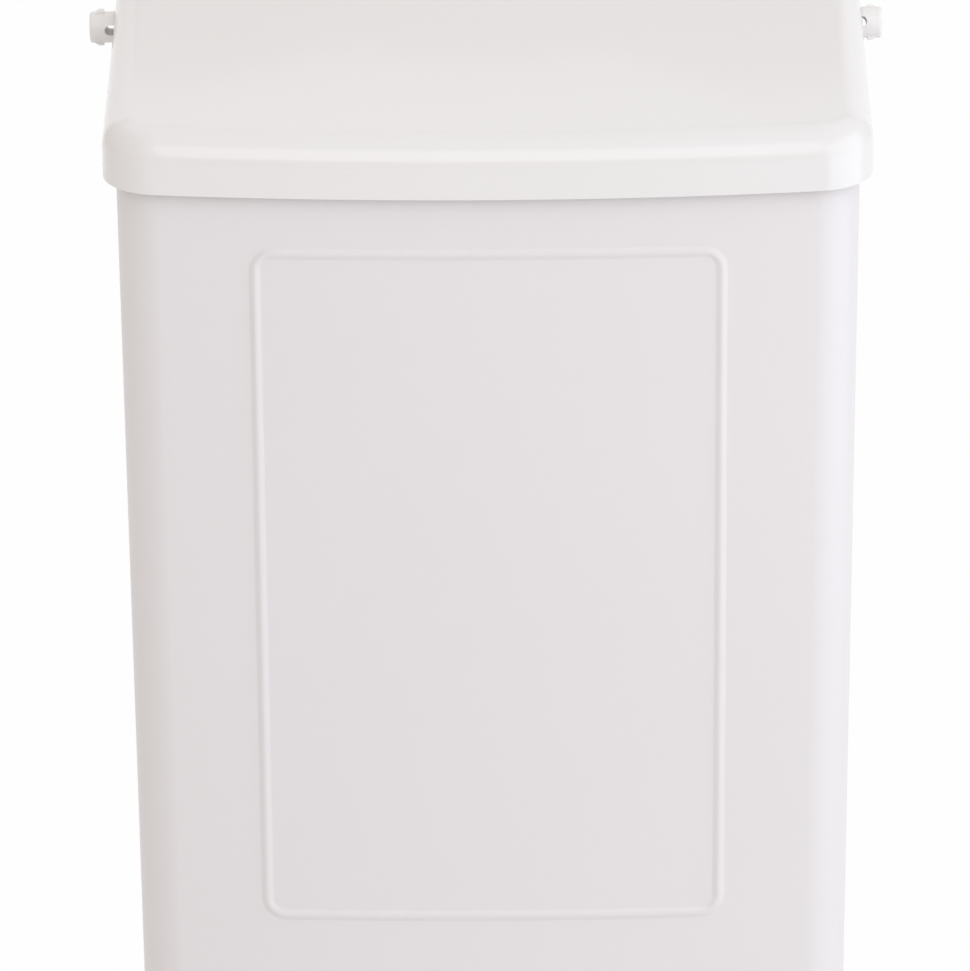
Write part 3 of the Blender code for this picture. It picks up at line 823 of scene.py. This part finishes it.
@dataclass
class SubAssembly:
    """Pieces that are built together, from the shared sizes and one main finish."""

    profile: Profile
    finish: MouldedPlastic


@dataclass
class Lid(SubAssembly):
    """The sloping lid: a thin moulded cap with a rounded shoulder and a skirt."""

    back_setback: float = 0.0024
    side_steps: int = 24
    skirt_steps: int = 4
    shoulder_steps: int = 12
    grid: float = 0.0060
    edge_round: float = 0.0004

    def _crown(self, x: float, y: float) -> float:
        """How far the top stands above its plain slope, flat where it meets the shoulder.

        Args:
            x: The place across.
            y: The place from front to back.

        Returns:
            The rise.
        """
        half = self.profile.rim_width / 2 + self.profile.overhang - self.profile.shoulder_radius
        across = min(abs(x) / half, 1.0)
        front = self.profile.lid_front_y + self.profile.shoulder_radius
        front += x**2 / (2 * self.profile.bow)
        deep = min(max((y - front) / (self.profile.back_y - front), 0.0), 1.0)
        return self.profile.crown * (1 - across**2) ** 2 * (2 * deep - deep**2) ** 2

    def _lean(self, piece: Piece) -> None:
        """Gives the flat cap its slopes, which differ between its lower edge and its top.

        Args:
            piece: The cap, drawn flat.
        """
        for vertex in piece.data.vertices:
            x, y, z = vertex.co
            top = self.profile.shoulder(y)
            if z <= MERGE:
                share = 1 + z / self.profile.shoulder_rise
                height = self.profile.edge(y) * (1 - share) + top * share
            else:
                height = top + z + self._crown(x, y)
            vertex.co.z = FOOT_Z + height

    def build(self) -> None:
        """Draws the plan, rounds the shoulder, drops the skirt, slopes it and gives it its wall."""
        prof = self.profile
        outline = Outline(
            half_width=prof.rim_width / 2 + prof.overhang,
            front_y=prof.lid_front_y,
            back_y=prof.back_y + prof.shoulder_radius + OVERRUN,
            corner=prof.corner + prof.overhang,
            back_corner=prof.overhang + OVERRUN,
            bow=prof.bow + prof.overhang,
            side_steps=self.side_steps,
        )
        piece = outline.draw("lid_cap", 0.0)
        round_over(prof.shoulder_radius, self.shoulder_steps)

        def on_top(face: bmesh.types.BMFace) -> bool:
            """Whether a face lies on the cap's top."""
            return face.calc_center_median().z > prof.shoulder_radius - MERGE

        grid, front = self.grid, outline.front_y
        columns = int((outline.half_width - prof.shoulder_radius) / grid)
        rows = int((outline.back_y - front) / grid)
        lines = [((i * grid, 0.0, 0.0), ACROSS) for i in range(-columns, columns + 1)]
        lines += [((0.0, front + i * grid, 0.0), BACK) for i in range(1, rows)]
        for place, normal in lines:
            pick(piece, Element.FACE, on_top)
            slice_picked(place, normal)
        pick(piece, Element.EDGE, is_open)
        for _ in range(self.skirt_steps):
            draw_on((0.0, 0.0, -prof.shoulder_rise / self.skirt_steps))
        pick_all()
        slice_picked((0.0, prof.back_y + OVERRUN / 2, 0.0), BACK, clear=True)
        pick_all()
        bpy.ops.mesh.normals_make_consistent(inside=False)
        bpy.ops.object.mode_set(mode="OBJECT")
        self._lean(piece)
        apply_modifier(piece, "SOLIDIFY", thickness=prof.wall, offset=-1.0, use_even_offset=True)
        reach = prof.rim_width
        tail_low = (-reach, prof.back_y - self.back_setback, FOOT_Z)
        tail_high = (reach, prof.back_y + prof.rim_depth, reach)
        tail = block("lid_tail", tail_low, tail_high)
        carve(piece, Cut.TAKE, [prof.hinge_bore("lid_bore"), tail])
        soften_edges(piece, self.edge_round)
        finish_piece(piece, "lid", self.finish, "lid")


@dataclass
class Container(SubAssembly):
    """The drafted bin body with its bead, rail, spacers and ledges."""

    ledge_top: float
    side_draft: float = math.radians(0.75)
    front_draft: float = math.radians(1.5)
    back_corner: float = 0.0040
    base_radius: float = 0.0034
    base_steps: int = 8
    base_thickness: float = 0.0036
    foot_band: float = 0.0080
    foot_height: float = 0.0012
    wall_steps: int = 22
    rim_steps: int = 14
    rear_steps: int = 12
    edge_round: float = 0.0005
    bead_top_width: float = 0.1272
    bead_bottom_width: float = 0.1254
    bead_top_height: float = 0.2258
    bead_bottom_height: float = 0.0325
    bead_corner: float = 0.0050
    bead_corner_steps: int = 10
    bead_width: float = 0.0040
    bead_rise: float = 0.0008
    bead_steps: int = 12
    bead_cuts: int = 20
    bead_root: float = 0.00004
    rail_drop: float = 0.0150
    root: float = 0.0010
    spacer_width: float = 0.0050
    spacer_height: float = 0.0400
    spacer_pitch: float = 0.1200
    spacer_foot: float = 0.0300
    ledge_length: float = 0.0140
    ledge_depth: float = 0.0026
    ledge_height: float = 0.0050
    ledge_spacing: float = 0.0560

    def _half_width(self, height: float) -> float:
        """Half the body's width at a height."""
        top = self.profile.rim(self.profile.hinge_y)
        return self.profile.rim_width / 2 - (top - height) * math.tan(self.side_draft)

    def _front(self, height: float) -> float:
        """The body's front at a height."""
        top = self.profile.rim(self.profile.front_y)
        return self.profile.front_y + (top - height) * math.tan(self.front_draft)

    def _plan(self, height: float) -> Outline:
        """The body's outside at a height.

        Args:
            height: The height above the container's foot.

        Returns:
            The outline.
        """
        return Outline(
            half_width=self._half_width(height),
            front_y=self._front(height),
            back_y=self.profile.back_y,
            corner=self.profile.corner,
            back_corner=self.back_corner,
            bow=self.profile.bow,
        )

    def _drafted(self, name: str, wall: float, foot: float, radius: float) -> Piece:
        """A solid that fills the body, or its hollow, from a rounded foot to above the rim.

        Args:
            name: The new object's name.
            wall: How far inside the body's outside it lies.
            foot: The height of its underside.
            radius: The rounding of its lower edge.

        Returns:
            The closed solid.
        """
        start = foot + radius
        top = self.profile.rim(self.profile.hinge_y) + OVERRUN + wall
        piece = self._plan(start).inset(wall).draw(name, start)
        bpy.ops.mesh.flip_normals()
        round_over(radius, self.base_steps)
        pick(piece, Element.EDGE, is_open)
        step = (top - start) / self.wall_steps
        for i in range(self.wall_steps):
            low, high = start + i * step, start + (i + 1) * step
            draw_on((0.0, 0.0, step))
            wider = (self._half_width(high) - wall) / (self._half_width(low) - wall)
            back = self.profile.back_y - wall
            deeper = (back - self._front(high) - wall) / (back - self._front(low) - wall)
            centre = (0.0, back, high)
            bpy.ops.transform.resize(value=(wider, deeper, 1.0), center_override=centre)
        bpy.ops.mesh.edge_face_add()
        close_mesh()
        for vertex in piece.data.vertices:
            vertex.co.z += FOOT_Z
        return piece

    def _rim_cutter(self) -> Piece:
        """What is cut away above the rim: straight over most of it, round behind the hinge.

        Returns:
            The cutter.
        """
        prof = self.profile
        front = prof.lid_front_y - OVERRUN
        top = FOOT_Z + prof.rim(prof.hinge_y) + 2 * OVERRUN + prof.wall
        run = (prof.hinge_y - front) / self.rim_steps
        places = [front + run * i for i in range(self.rim_steps)]
        for turn in quarter_turns(self.rear_steps):
            places.append(prof.hinge_y + prof.rear_radius * math.sin(turn))
        points = [(y, FOOT_Z + prof.rim(y)) for y in places]
        back = prof.back_y + OVERRUN
        points += [(back, points[-1][1]), (back, top), (front, top)]
        return sweep_across("rim_cutter", -prof.rim_width, 2 * prof.rim_width, points)

    def _shell(self) -> Piece:
        """The open bin: a rounded base, drafted walls and the sloping rim, with softened edges.

        Returns:
            The shell.
        """
        piece = self._drafted("container_body", 0.0, 0.0, self.base_radius)
        wall = self.profile.wall
        hollow = self._drafted("body_hollow", wall, self.base_thickness, self.base_radius - wall)
        carve(piece, Cut.TAKE, [hollow, self._rim_cutter(), self._foot_recess()])
        soften_edges(piece, self.edge_round)
        return piece

    def _foot_recess(self) -> Piece:
        """The shallow hollow under the base, which leaves a band to stand on."""
        outline = self._plan(0.0).inset(self.foot_band)
        return outline.prism("foot_recess", (FOOT_Z - OVERRUN, FOOT_Z + self.foot_height))

    def _bead(self) -> Piece:
        """The bead round the panel: insets of a rounded frame that rise and fall, then bent.

        Returns:
            The bead, with a thin root that goes into the wall.
        """
        top_width = self.bead_top_width
        foot_width = self.bead_bottom_width + self.bead_width
        middle = (self.bead_top_height + self.bead_bottom_height) / 2
        tall = self.bead_top_height - self.bead_bottom_height + self.bead_width
        scale = (top_width + self.bead_width, tall, 1.0)
        piece = add_shape(
            "panel_bead", bpy.ops.mesh.primitive_plane_add, scale, size=1.0,
            rotation=(math.pi / 2, 0.0, 0.0), location=(0.0, 0.0, middle),
        )
        edit(piece)
        pick(piece, Element.VERT, lambda vertex: vertex.co.z < middle)
        narrow = (foot_width / scale[0], 1.0, 1.0)
        bpy.ops.transform.resize(value=narrow, center_override=(0.0, 0.0, 0.0))
        pick_all()
        radius, steps = self.bead_corner + self.bead_width / 2, self.bead_corner_steps
        bpy.ops.mesh.bevel(affect="VERTICES", offset=radius, segments=steps)
        pick(piece, Element.FACE, bool)
        shares = [i / self.bead_steps for i in range(self.bead_steps + 1)]
        rises = [self.bead_rise * math.sin(math.pi * share) ** 2 for share in shares]
        inset_along([(self.bead_width * share, rise) for share, rise in zip(shares, rises)])
        bpy.ops.mesh.delete(type="ONLY_FACE")
        for i in range(-self.bead_cuts, self.bead_cuts + 1):
            share = i / self.bead_cuts / 2
            for normal, place in (
                (ACROSS, (share * top_width, 0.0, 0.0)),
                (UP, (0.0, 0.0, middle + share * tall)),
            ):
                pick_all()
                slice_picked(place, normal)
        bpy.ops.object.mode_set(mode="OBJECT")
        for vertex in piece.data.vertices:
            x, y, z = vertex.co
            bow = self.profile.bow
            vertex.co.y = y + self.bead_root + self._front(z) + bow - math.sqrt(bow**2 - x**2)
            vertex.co.z = FOOT_Z + z
        apply_modifier(piece, "SOLIDIFY", thickness=self.root, offset=-1.0)
        return piece

    def _rail(self) -> Piece:
        """The downturned rail that hooks over the bracket's tongue.

        Returns:
            The rail.
        """
        prof = self.profile
        top = FOOT_Z + prof.hinge_height - self.rail_drop
        seat = top - prof.rail_top
        foot = seat - prof.lip_height
        lip_back = -prof.plate - prof.gap
        lip_front = lip_back - prof.rail_lip
        inner = prof.back_y - self.root
        places = (
            (inner, top), (inner, seat), (lip_front, seat),
            (lip_front, foot), (lip_back, foot), (lip_back, top),
        )
        return sweep_across("back_rail", -prof.rail_width / 2, prof.rail_width, places)

    def _spacer(self, side: Side) -> Piece:
        """One of the two low ribs that touch the wall.

        Args:
            side: The side that it is on.

        Returns:
            The rib.
        """
        start_x = side.value * self.spacer_pitch / 2 - self.spacer_width / 2
        inner, touch = self.profile.back_y - self.root, -self.profile.gap
        foot = FOOT_Z + self.spacer_foot
        places = (
            (inner, foot - self.spacer_width),
            (touch, foot),
            (touch, foot + self.spacer_height),
            (inner, foot + self.spacer_height + self.spacer_width),
        )
        return sweep_across("back_spacer", start_x, self.spacer_width, places)

    def _ledge(self, side: Side, end: int) -> Piece:
        """One of the four gussets that carry the bag ring.

        Args:
            side: The wall that it is on.
            end: -1 for the one in front, 1 for the one behind.

        Returns:
            The gusset.
        """
        prof = self.profile
        wall_x = self._half_width(self.ledge_top) - prof.wall
        y = (prof.front_y + prof.back_y) / 2 + end * self.ledge_spacing / 2
        start_y = y - self.ledge_length / 2
        top = FOOT_Z + self.ledge_top
        profile = (
            (side.value * (wall_x + self.root), start_y, top),
            (side.value * (wall_x - self.ledge_depth), start_y, top),
            (side.value * (wall_x + self.root), start_y, top - self.ledge_height),
        )
        return sweep_profile("ring_ledge", profile, (0.0, self.ledge_length, 0.0))

    def build(self) -> None:
        """Builds the shell, joins what is moulded on to it and bores it for the pins."""
        piece = self._shell()
        spacers = [self._spacer(side) for side in Side]
        ledges = [self._ledge(side, end) for side in Side for end in (-1, 1)]
        carve(piece, Cut.JOIN, [self._bead(), self._rail(), *spacers, *ledges])
        carve(piece, Cut.TAKE, [self.profile.hinge_bore("body_bore")])
        finish_piece(piece, "container", self.finish, "container")


@dataclass
class HingePins(SubAssembly):
    """The two barbed snap pins on the hinge axis, loose in their bores."""

    radius: float = 0.0044
    reach: float = 0.0072
    neck: float = 0.0032
    head_radius: float = 0.0056
    head_thickness: float = 0.0020
    tip_round: float = 0.0009
    tip_steps: int = 6
    sides: int = 56
    barb_rise: float = 0.0005
    barb_length: float = 0.0029
    barb_crest: float = 0.0014
    barb_width: float = 0.0034
    eye_length: float = 0.0044
    eye_height: float = 0.0030
    eye_showing: float = 0.0029
    eye_sides: int = 32
    edge_round: float = 0.0002
    play: float = 0.0014
    turn: float = math.radians(-18.0)

    @property
    def face(self) -> float:
        """How far out the lid's sides stand."""
        return self.profile.rim_width / 2 + self.profile.overhang

    def _pin(self, side: Side, head_x: float) -> Piece:
        """One pin, from its head inside the container to its rounded tip.

        Args:
            side: The pin's side.
            head_x: How far from the middle its inner end is.

        Returns:
            The pin.
        """
        tip = self.face + self.reach
        points = [
            (head_x, 0.0),
            (head_x, self.head_radius - self.tip_round / 2),
            (head_x + self.tip_round / 2, self.head_radius),
            (head_x + self.head_thickness, self.head_radius),
            (head_x + self.head_thickness, self.radius),
        ]
        for turn in quarter_turns(self.tip_steps):
            along = tip - self.tip_round * (1 - math.sin(turn))
            points.append((along, self.radius - self.tip_round * (1 - math.cos(turn))))
        points.append((tip, 0.0))
        name, axis = f"snap_pin_{side.label}", (float(side.value), 0.0, 0.0)
        piece = turn_profile(name, points, self.profile.hinge_centre, axis, self.sides)
        carve(piece, Cut.JOIN, [self._barb(side)])
        carve(piece, Cut.TAKE, [self._eye(side)])
        soften_edges(piece, self.edge_round)
        return piece

    def _barb(self, side: Side) -> Piece:
        """The blunt wedge that stands proud above and below the pin.

        Args:
            side: The pin's side.

        Returns:
            The wedge.
        """
        start = self.face + self.neck
        low, high = self.radius - self.barb_rise, self.radius + self.barb_rise
        half = (
            (start, high),
            (start + self.barb_crest, high),
            (start + self.barb_length, low),
        )
        section = [(x, -z) for x, z in half] + [(x, z) for x, z in reversed(half)]
        y = self.profile.hinge_centre[1] - self.barb_width / 2
        profile = [(side.value * x, y, self.profile.hinge_centre[2] + z) for x, z in section]
        return sweep_profile("pin_barb", profile, (0.0, self.barb_width, 0.0))

    def _eye(self, side: Side) -> Piece:
        """The slot through the pin near its root.

        Args:
            side: The pin's side.

        Returns:
            The slot, as a solid to take away.
        """
        radius = self.eye_height / 2
        far = side.value * (self.face + self.eye_showing - radius)
        near = far - side.value * (self.eye_length - self.eye_height)
        _, y, z = self.profile.hinge_centre
        reach = self.radius + OVERRUN
        front, back = y - reach, y + reach
        lines = [((x, front, z), (x, back, z)) for x in (near, far)]
        ends = [rod("eye_end", radius, line, self.eye_sides) for line in lines]
        slot = block("pin_eye", (near, front, z - radius), (far, back, z + radius))
        carve(slot, Cut.JOIN, ends)
        return slot

    def build(self) -> None:
        """Builds both pins; the right one is pushed in by the play and turned."""
        low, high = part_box("hinge_pin_left")
        head_x = min(abs(low.x), abs(high.x))
        for side in Side:
            piece = self._pin(side, head_x)
            if side is Side.RIGHT:
                pivot = Matrix.Translation(self.profile.hinge_centre)
                turn = pivot @ Matrix.Rotation(self.turn, 4, "X") @ pivot.inverted()
                piece.matrix_world = Matrix.Translation((-self.play, 0.0, 0.0)) @ turn
                settle(piece)
            finish_piece(piece, "container", self.finish, f"hinge_pin_{side.label}")


@dataclass
class BagRing(SubAssembly):
    """The loose ring that holds a liner bag's edge: a band with a flange turned in."""

    corner: float = 0.0103
    back_corner: float = 0.0015
    flange: float = 0.0050
    thickness: float = 0.0016
    edge_round: float = 0.0003

    def build(self) -> None:
        """Cuts the band's inside and the flange's mouth out of one slab."""
        low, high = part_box("bag_ring")
        outline = Outline(high.x, low.y, high.y, self.corner, self.back_corner, self.profile.bow)
        piece = outline.prism("liner_ring", (low.z, high.z))
        band_ends = (low.z - OVERRUN, high.z - self.thickness)
        mouth_ends = (low.z - OVERRUN, high.z + OVERRUN)
        band = outline.inset(self.thickness).prism("band_cut", band_ends)
        mouth = outline.inset(self.flange).prism("mouth_cut", mouth_ends)
        carve(piece, Cut.TAKE, [band, mouth])
        soften_edges(piece, self.edge_round)
        finish_piece(piece, "container", self.finish, "bag_ring")


@dataclass
class WallMount(SubAssembly):
    """What stays on the wall: the bracket, two screws and their plugs."""

    screw_finish: ZincPlate
    plug_finish: MouldedPlastic
    corner: float = 0.0060
    corner_steps: int = 10
    cheek: float = 0.0030
    shelf: float = 0.0030
    hole_radius: float = 0.0022
    sides: int = 40
    screw_pitch: float = 0.0440
    screw_radius: float = 0.0018
    screw_length: float = 0.0260
    point_length: float = 0.0040
    head_radius: float = 0.0038
    head_height: float = 0.0022
    head_steps: int = 6
    drive_length: float = 0.0036
    drive_width: float = 0.0009
    drive_depth: float = 0.0012
    thread_pitch: float = 0.0013
    thread_rise: float = 0.00025
    plug_radius: float = 0.0032
    plug_length: float = 0.0300
    collar_radius: float = 0.0042
    collar: float = 0.0009
    ridge_rise: float = 0.0004
    ridge_pitch: float = 0.0040
    crest_share: float = 0.75
    plug_bore: float = 0.0021
    relief_clearance: float = 0.0004
    split: float = 0.0010
    split_length: float = 0.0200
    edge_round: float = 0.0004

    def _fixing(self, side: Side) -> Point:
        """Where a screw's axis meets the wall."""
        low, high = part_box("wall_screw_left")
        return (side.value * self.screw_pitch / 2, 0.0, (low.z + high.z) / 2)

    def _bracket(self) -> Piece:
        """The plate with its round corners, shelf, tongue and cheeks, bored for the screws.

        Returns:
            The bracket.
        """
        prof = self.profile
        low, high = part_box("wall_bracket")
        piece = block("bracket_plate", (low.x, -prof.plate, low.z), (high.x, 0.0, high.z))
        edit(piece)
        pick(piece, Element.EDGE, lambda edge: edge.calc_length() < 2 * prof.plate)
        bpy.ops.mesh.bevel(offset=self.corner, segments=self.corner_steps, affect="EDGES")
        top = high.z - prof.rail_top - prof.gap
        shelf_top = top - prof.lip_height
        foot = shelf_top - self.shelf
        front, back = prof.back_y + prof.gap, -prof.plate - 2 * prof.gap - prof.rail_lip
        inner = -prof.plate / 2
        x = -prof.rail_width / 2 - prof.gap - self.cheek / 2
        places = (
            (inner, foot), (front, foot), (front, top), (back, top), (back, shelf_top),
            (inner, shelf_top),
        )
        carve(piece, Cut.JOIN, [sweep_across("bracket_hook", x, -2 * x, places)])
        for side in Side:
            near = side.value * (prof.rail_width / 2 + prof.gap)
            far = (near + side.value * self.cheek, inner, top)
            carve(piece, Cut.JOIN, [block("bracket_cheek", (near, front, foot), far)])
        for side in Side:
            x, _, z = self._fixing(side)
            depths = (prof.plate + OVERRUN, self.collar + prof.gap)
            radii = (self.hole_radius, self.collar_radius + self.relief_clearance)
            tools = [
                rod("bracket_hole", radius, ((x, -depth, z), (x, OVERRUN, z)), self.sides)
                for depth, radius in zip(depths, radii)
            ]
            carve(piece, Cut.TAKE, tools)
        soften_edges(piece, self.edge_round)
        return piece

    def _screw(self, side: Side) -> Piece:
        """A pan-head screw with a cross recess and rings of thread.

        Args:
            side: The screw's side.

        Returns:
            The screw.
        """
        x, _, z = centre = self._fixing(side)
        seat = -self.profile.plate - self.profile.gap
        crown, end = seat - self.head_height, seat + self.screw_length
        core = self.screw_radius - self.thread_rise
        bend = self.head_height / 2
        points = [(crown, 0.0)]
        for turn in quarter_turns(self.head_steps):
            radius = self.head_radius - bend * (1 - math.sin(turn))
            points.append((crown + bend * (1 - math.cos(turn)), radius))
        points += [(seat, self.head_radius), (seat, core)]
        along = seat + 2 * self.thread_pitch
        while along + self.thread_pitch < end - self.point_length:
            points += [(along, core), (along + self.thread_pitch / 2, self.screw_radius)]
            along += self.thread_pitch
        points += [(end - self.point_length, core), (end, self.thread_rise), (end, 0.0)]
        piece = turn_profile(f"screw_{side.label}", points, centre, BACK, self.sides)
        slot = (self.drive_length / 2, self.drive_width / 2)
        for across, up in (slot, slot[::-1]):
            low = (x - across, crown - OVERRUN, z - up)
            high = (x + across, crown + self.drive_depth, z + up)
            carve(piece, Cut.TAKE, [block("drive_slot", low, high)])
        return piece

    def _plug(self, side: Side) -> Piece:
        """A split wall plug with a collar and ridges.

        Args:
            side: The plug's side.

        Returns:
            The plug.
        """
        x, _, z = centre = self._fixing(side)
        mouth, end, radius = (-self.collar, self.plug_bore), self.plug_length, self.plug_radius
        points = [mouth, (-self.collar, self.collar_radius), (0.0, self.collar_radius)]
        points.append((0.0, radius))
        along = self.ridge_pitch
        while along + self.ridge_pitch < end:
            crest = along + self.ridge_pitch * self.crest_share
            points += [(along, radius), (crest, radius + self.ridge_rise)]
            along += self.ridge_pitch
            points.append((along, radius))
        points += [(end, radius), (end, self.plug_bore), mouth]
        piece = turn_profile(f"plug_{side.label}", points, centre, BACK, self.sides)
        reach = radius + OVERRUN
        low = (x - self.split / 2, end - self.split_length, z - reach)
        high = (x + self.split / 2, end + OVERRUN, z + reach)
        carve(piece, Cut.TAKE, [block("plug_split", low, high)])
        soften_edges(piece, self.ridge_rise / 3, 1)
        return piece

    def build(self) -> None:
        """Builds the bracket and its fixings."""
        body = "wall_mount"
        finish_piece(self._bracket(), body, self.finish, "wall_bracket")
        for side in Side:
            finish_piece(self._screw(side), body, self.screw_finish, f"wall_screw_{side.label}")
            finish_piece(self._plug(side), body, self.plug_finish, f"wall_plug_{side.label}")


@dataclass(frozen=True)
class Lamp:
    """One square soft lamp, aimed at the front of the object."""

    name: str
    place: Point
    size: float
    watts: float
    tint: Colour
    aim: Point = (0.0, -0.10, 0.0)

    def add(self) -> None:
        """Puts the lamp in the scene."""
        data = bpy.data.lights.new(self.name, "AREA")
        data.size = self.size
        data.energy = self.watts
        data.color = self.tint
        lamp = bpy.data.objects.new(self.name, data)
        bpy.context.scene.collection.objects.link(lamp)
        lamp.location = self.place
        towards = Vector(self.aim) - Vector(self.place)
        lamp.rotation_euler = towards.to_track_quat("-Z", "Y").to_euler()


@dataclass(frozen=True)
class Surround:
    """The room: a white paper sweep behind the object, and even light from all other sides."""

    colour: Colour = (1.0, 0.964, 0.908)
    strength: float = 0.748
    sweep_strength: float = 1.0
    sweep_top: Span = (math.radians(31.6), math.radians(32.6))
    sheet_foot: Span = (math.radians(35.0), math.radians(38.0))
    sweep_side: Span = (0.30, 0.55)
    card_shift: float = 0.007
    card_side: Span = (0.022, 0.036)
    card_drop: float = 0.038
    behind: Span = (0.05, 0.35)

    def build(self) -> None:
        """Builds the world, which is plain white where the camera sees it."""
        world = bpy.data.worlds.new("surround")
        bpy.context.scene.world = world
        board = NodeBoard(world)
        board.tree.nodes.clear()
        direction = board.node("ShaderNodeTexCoord", result="Generated")
        across, back, up = (
            board.node("ShaderNodeSeparateXYZ", {0: direction}, name) for name in "XYZ"
        )
        card = board.step(board.reckon("ABSOLUTE", across + self.card_shift), *self.card_side)
        height = up + card * self.card_drop
        above = board.step(height, *(math.sin(angle) for angle in self.sweep_top))
        below = 1.0 - board.step(up, *(math.sin(angle) for angle in self.sheet_foot))
        low = 1.0 - above * below
        side = 1.0 - board.step(board.reckon("ABSOLUTE", across), *self.sweep_side)
        share = low * side * board.step(back, *self.behind)
        strength = self.strength + share * (self.sweep_strength - self.strength)
        tint = board.blend(share, self.colour, WHITE[:3])
        room = board.node("ShaderNodeBackground", {"Color": tint, "Strength": strength})
        white = board.node("ShaderNodeBackground", {"Color": WHITE})
        camera, mirrored = board.seen()
        shown = camera + mirrored * share
        mix = board.node("ShaderNodeMixShader", {0: shown, 1: room, 2: white})
        board.node("ShaderNodeOutputWorld", {"Surface": mix}, None)


@dataclass(frozen=True)
class Floor:
    """The pale floor far below, which the camera sees almost white, with a faint shadow."""

    drop: float = 0.42
    width: float = 14.0
    pale: float = 0.92
    roughness: float = 0.9
    glow_share: float = 0.96

    def build(self) -> None:
        """Lays the floor."""
        place = (0.0, 0.0, FOOT_Z - self.drop)
        plane = bpy.ops.mesh.primitive_plane_add
        floor = add_shape("floor", plane, size=self.width, location=place)
        board = NodeBoard(bpy.data.materials.new("floor_white"))
        colour = (self.pale, self.pale, self.pale, 1.0)
        plain = board.dress({"Base Color": colour, "Roughness": self.roughness})
        glow = board.node("ShaderNodeEmission", {"Color": WHITE})
        camera, mirrored = board.seen()
        share = (camera + mirrored) * self.glow_share
        mix = board.node("ShaderNodeMixShader", {0: share, 1: plain, 2: glow})
        board.feed(board.tree.nodes["Material Output"].inputs["Surface"], mix)
        floor.data.materials.append(board.owner)


@dataclass
class Studio:
    """The floor, the room, the lamps and the camera at the photograph's angle."""

    image_width: float = 970.0
    image_height: float = 971.0
    distance: float = 2.400
    metres_per_pixel: float = 0.0002745
    pitch: float = math.radians(17.9)
    yaw: float = math.radians(0.3)
    roll: float = math.radians(0.44)
    reference_u: float = 490.7
    reference_v: float = 590.3
    reference_height: float = 0.130
    reference_y: float = -0.1260
    sensor: float = 36.0
    clip_end: float = 50.0
    lamps: tuple[Lamp, ...] = (
        Lamp("key_right", (0.810, -0.460, 0.156), 1.30, 5.2, (0.77, 0.887, 1.0)),
        Lamp("front_high", (0.0, -1.019, 0.771), 0.80, 2.75, (0.93, 0.96, 1.0)),
        Lamp("overhead", (0.022, -0.349, 1.174), 0.90, 1.0, (0.70, 0.75, 1.0)),
        Lamp("low_front", (0.0, -1.280, -0.550), 0.90, 0.3, (0.92, 0.92, 1.0)),
    )

    def _camera(self) -> None:
        """Places the camera so that the reference point falls on its pixel."""
        turn = (
            Matrix.Rotation(self.yaw, 3, "Z")
            @ Matrix.Rotation(math.pi / 2 - self.pitch, 3, "X")
            @ Matrix.Rotation(-self.roll, 3, "Z")
        )
        across = (self.reference_u - self.image_width / 2) * self.metres_per_pixel
        drop = (self.reference_v - self.image_height / 2) * self.metres_per_pixel
        target = Vector((0.0, self.reference_y, FOOT_Z + self.reference_height))
        place = target + turn @ Vector((-across, drop, self.distance))
        data = bpy.data.cameras.new("photo_camera")
        data.sensor_fit = "HORIZONTAL"
        data.sensor_width = self.sensor
        data.lens = self.sensor * self.distance / self.metres_per_pixel / self.image_width
        data.clip_end = self.clip_end
        camera = bpy.data.objects.new("photo_camera", data)
        bpy.context.scene.collection.objects.link(camera)
        camera.matrix_world = Matrix.Translation(place) @ turn.to_4x4()
        bpy.context.scene.camera = camera

    def build(self) -> None:
        """Sets the floor, the room, the lamps and the camera."""
        bpy.context.scene.view_settings.view_transform = "Standard"
        Floor().build()
        Surround().build()
        for lamp in self.lamps:
            lamp.add()
        self._camera()


def main() -> None:
    """Builds every sub-assembly in order, then the studio."""
    logging.basicConfig(level=logging.INFO, format="%(name)s: %(message)s")
    finishes = FinishSet()
    profile = Profile()
    ledge_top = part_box("bag_ring")[0].z - FOOT_Z - profile.gap
    Container(profile, finishes.container, ledge_top).build()
    Lid(profile, finishes.lid).build()
    HingePins(profile, finishes.pins).build()
    BagRing(profile, finishes.ring).build()
    WallMount(profile, finishes.bracket, finishes.screws, finishes.plugs).build()
    Studio().build()


if __name__ == "__main__":
    main()
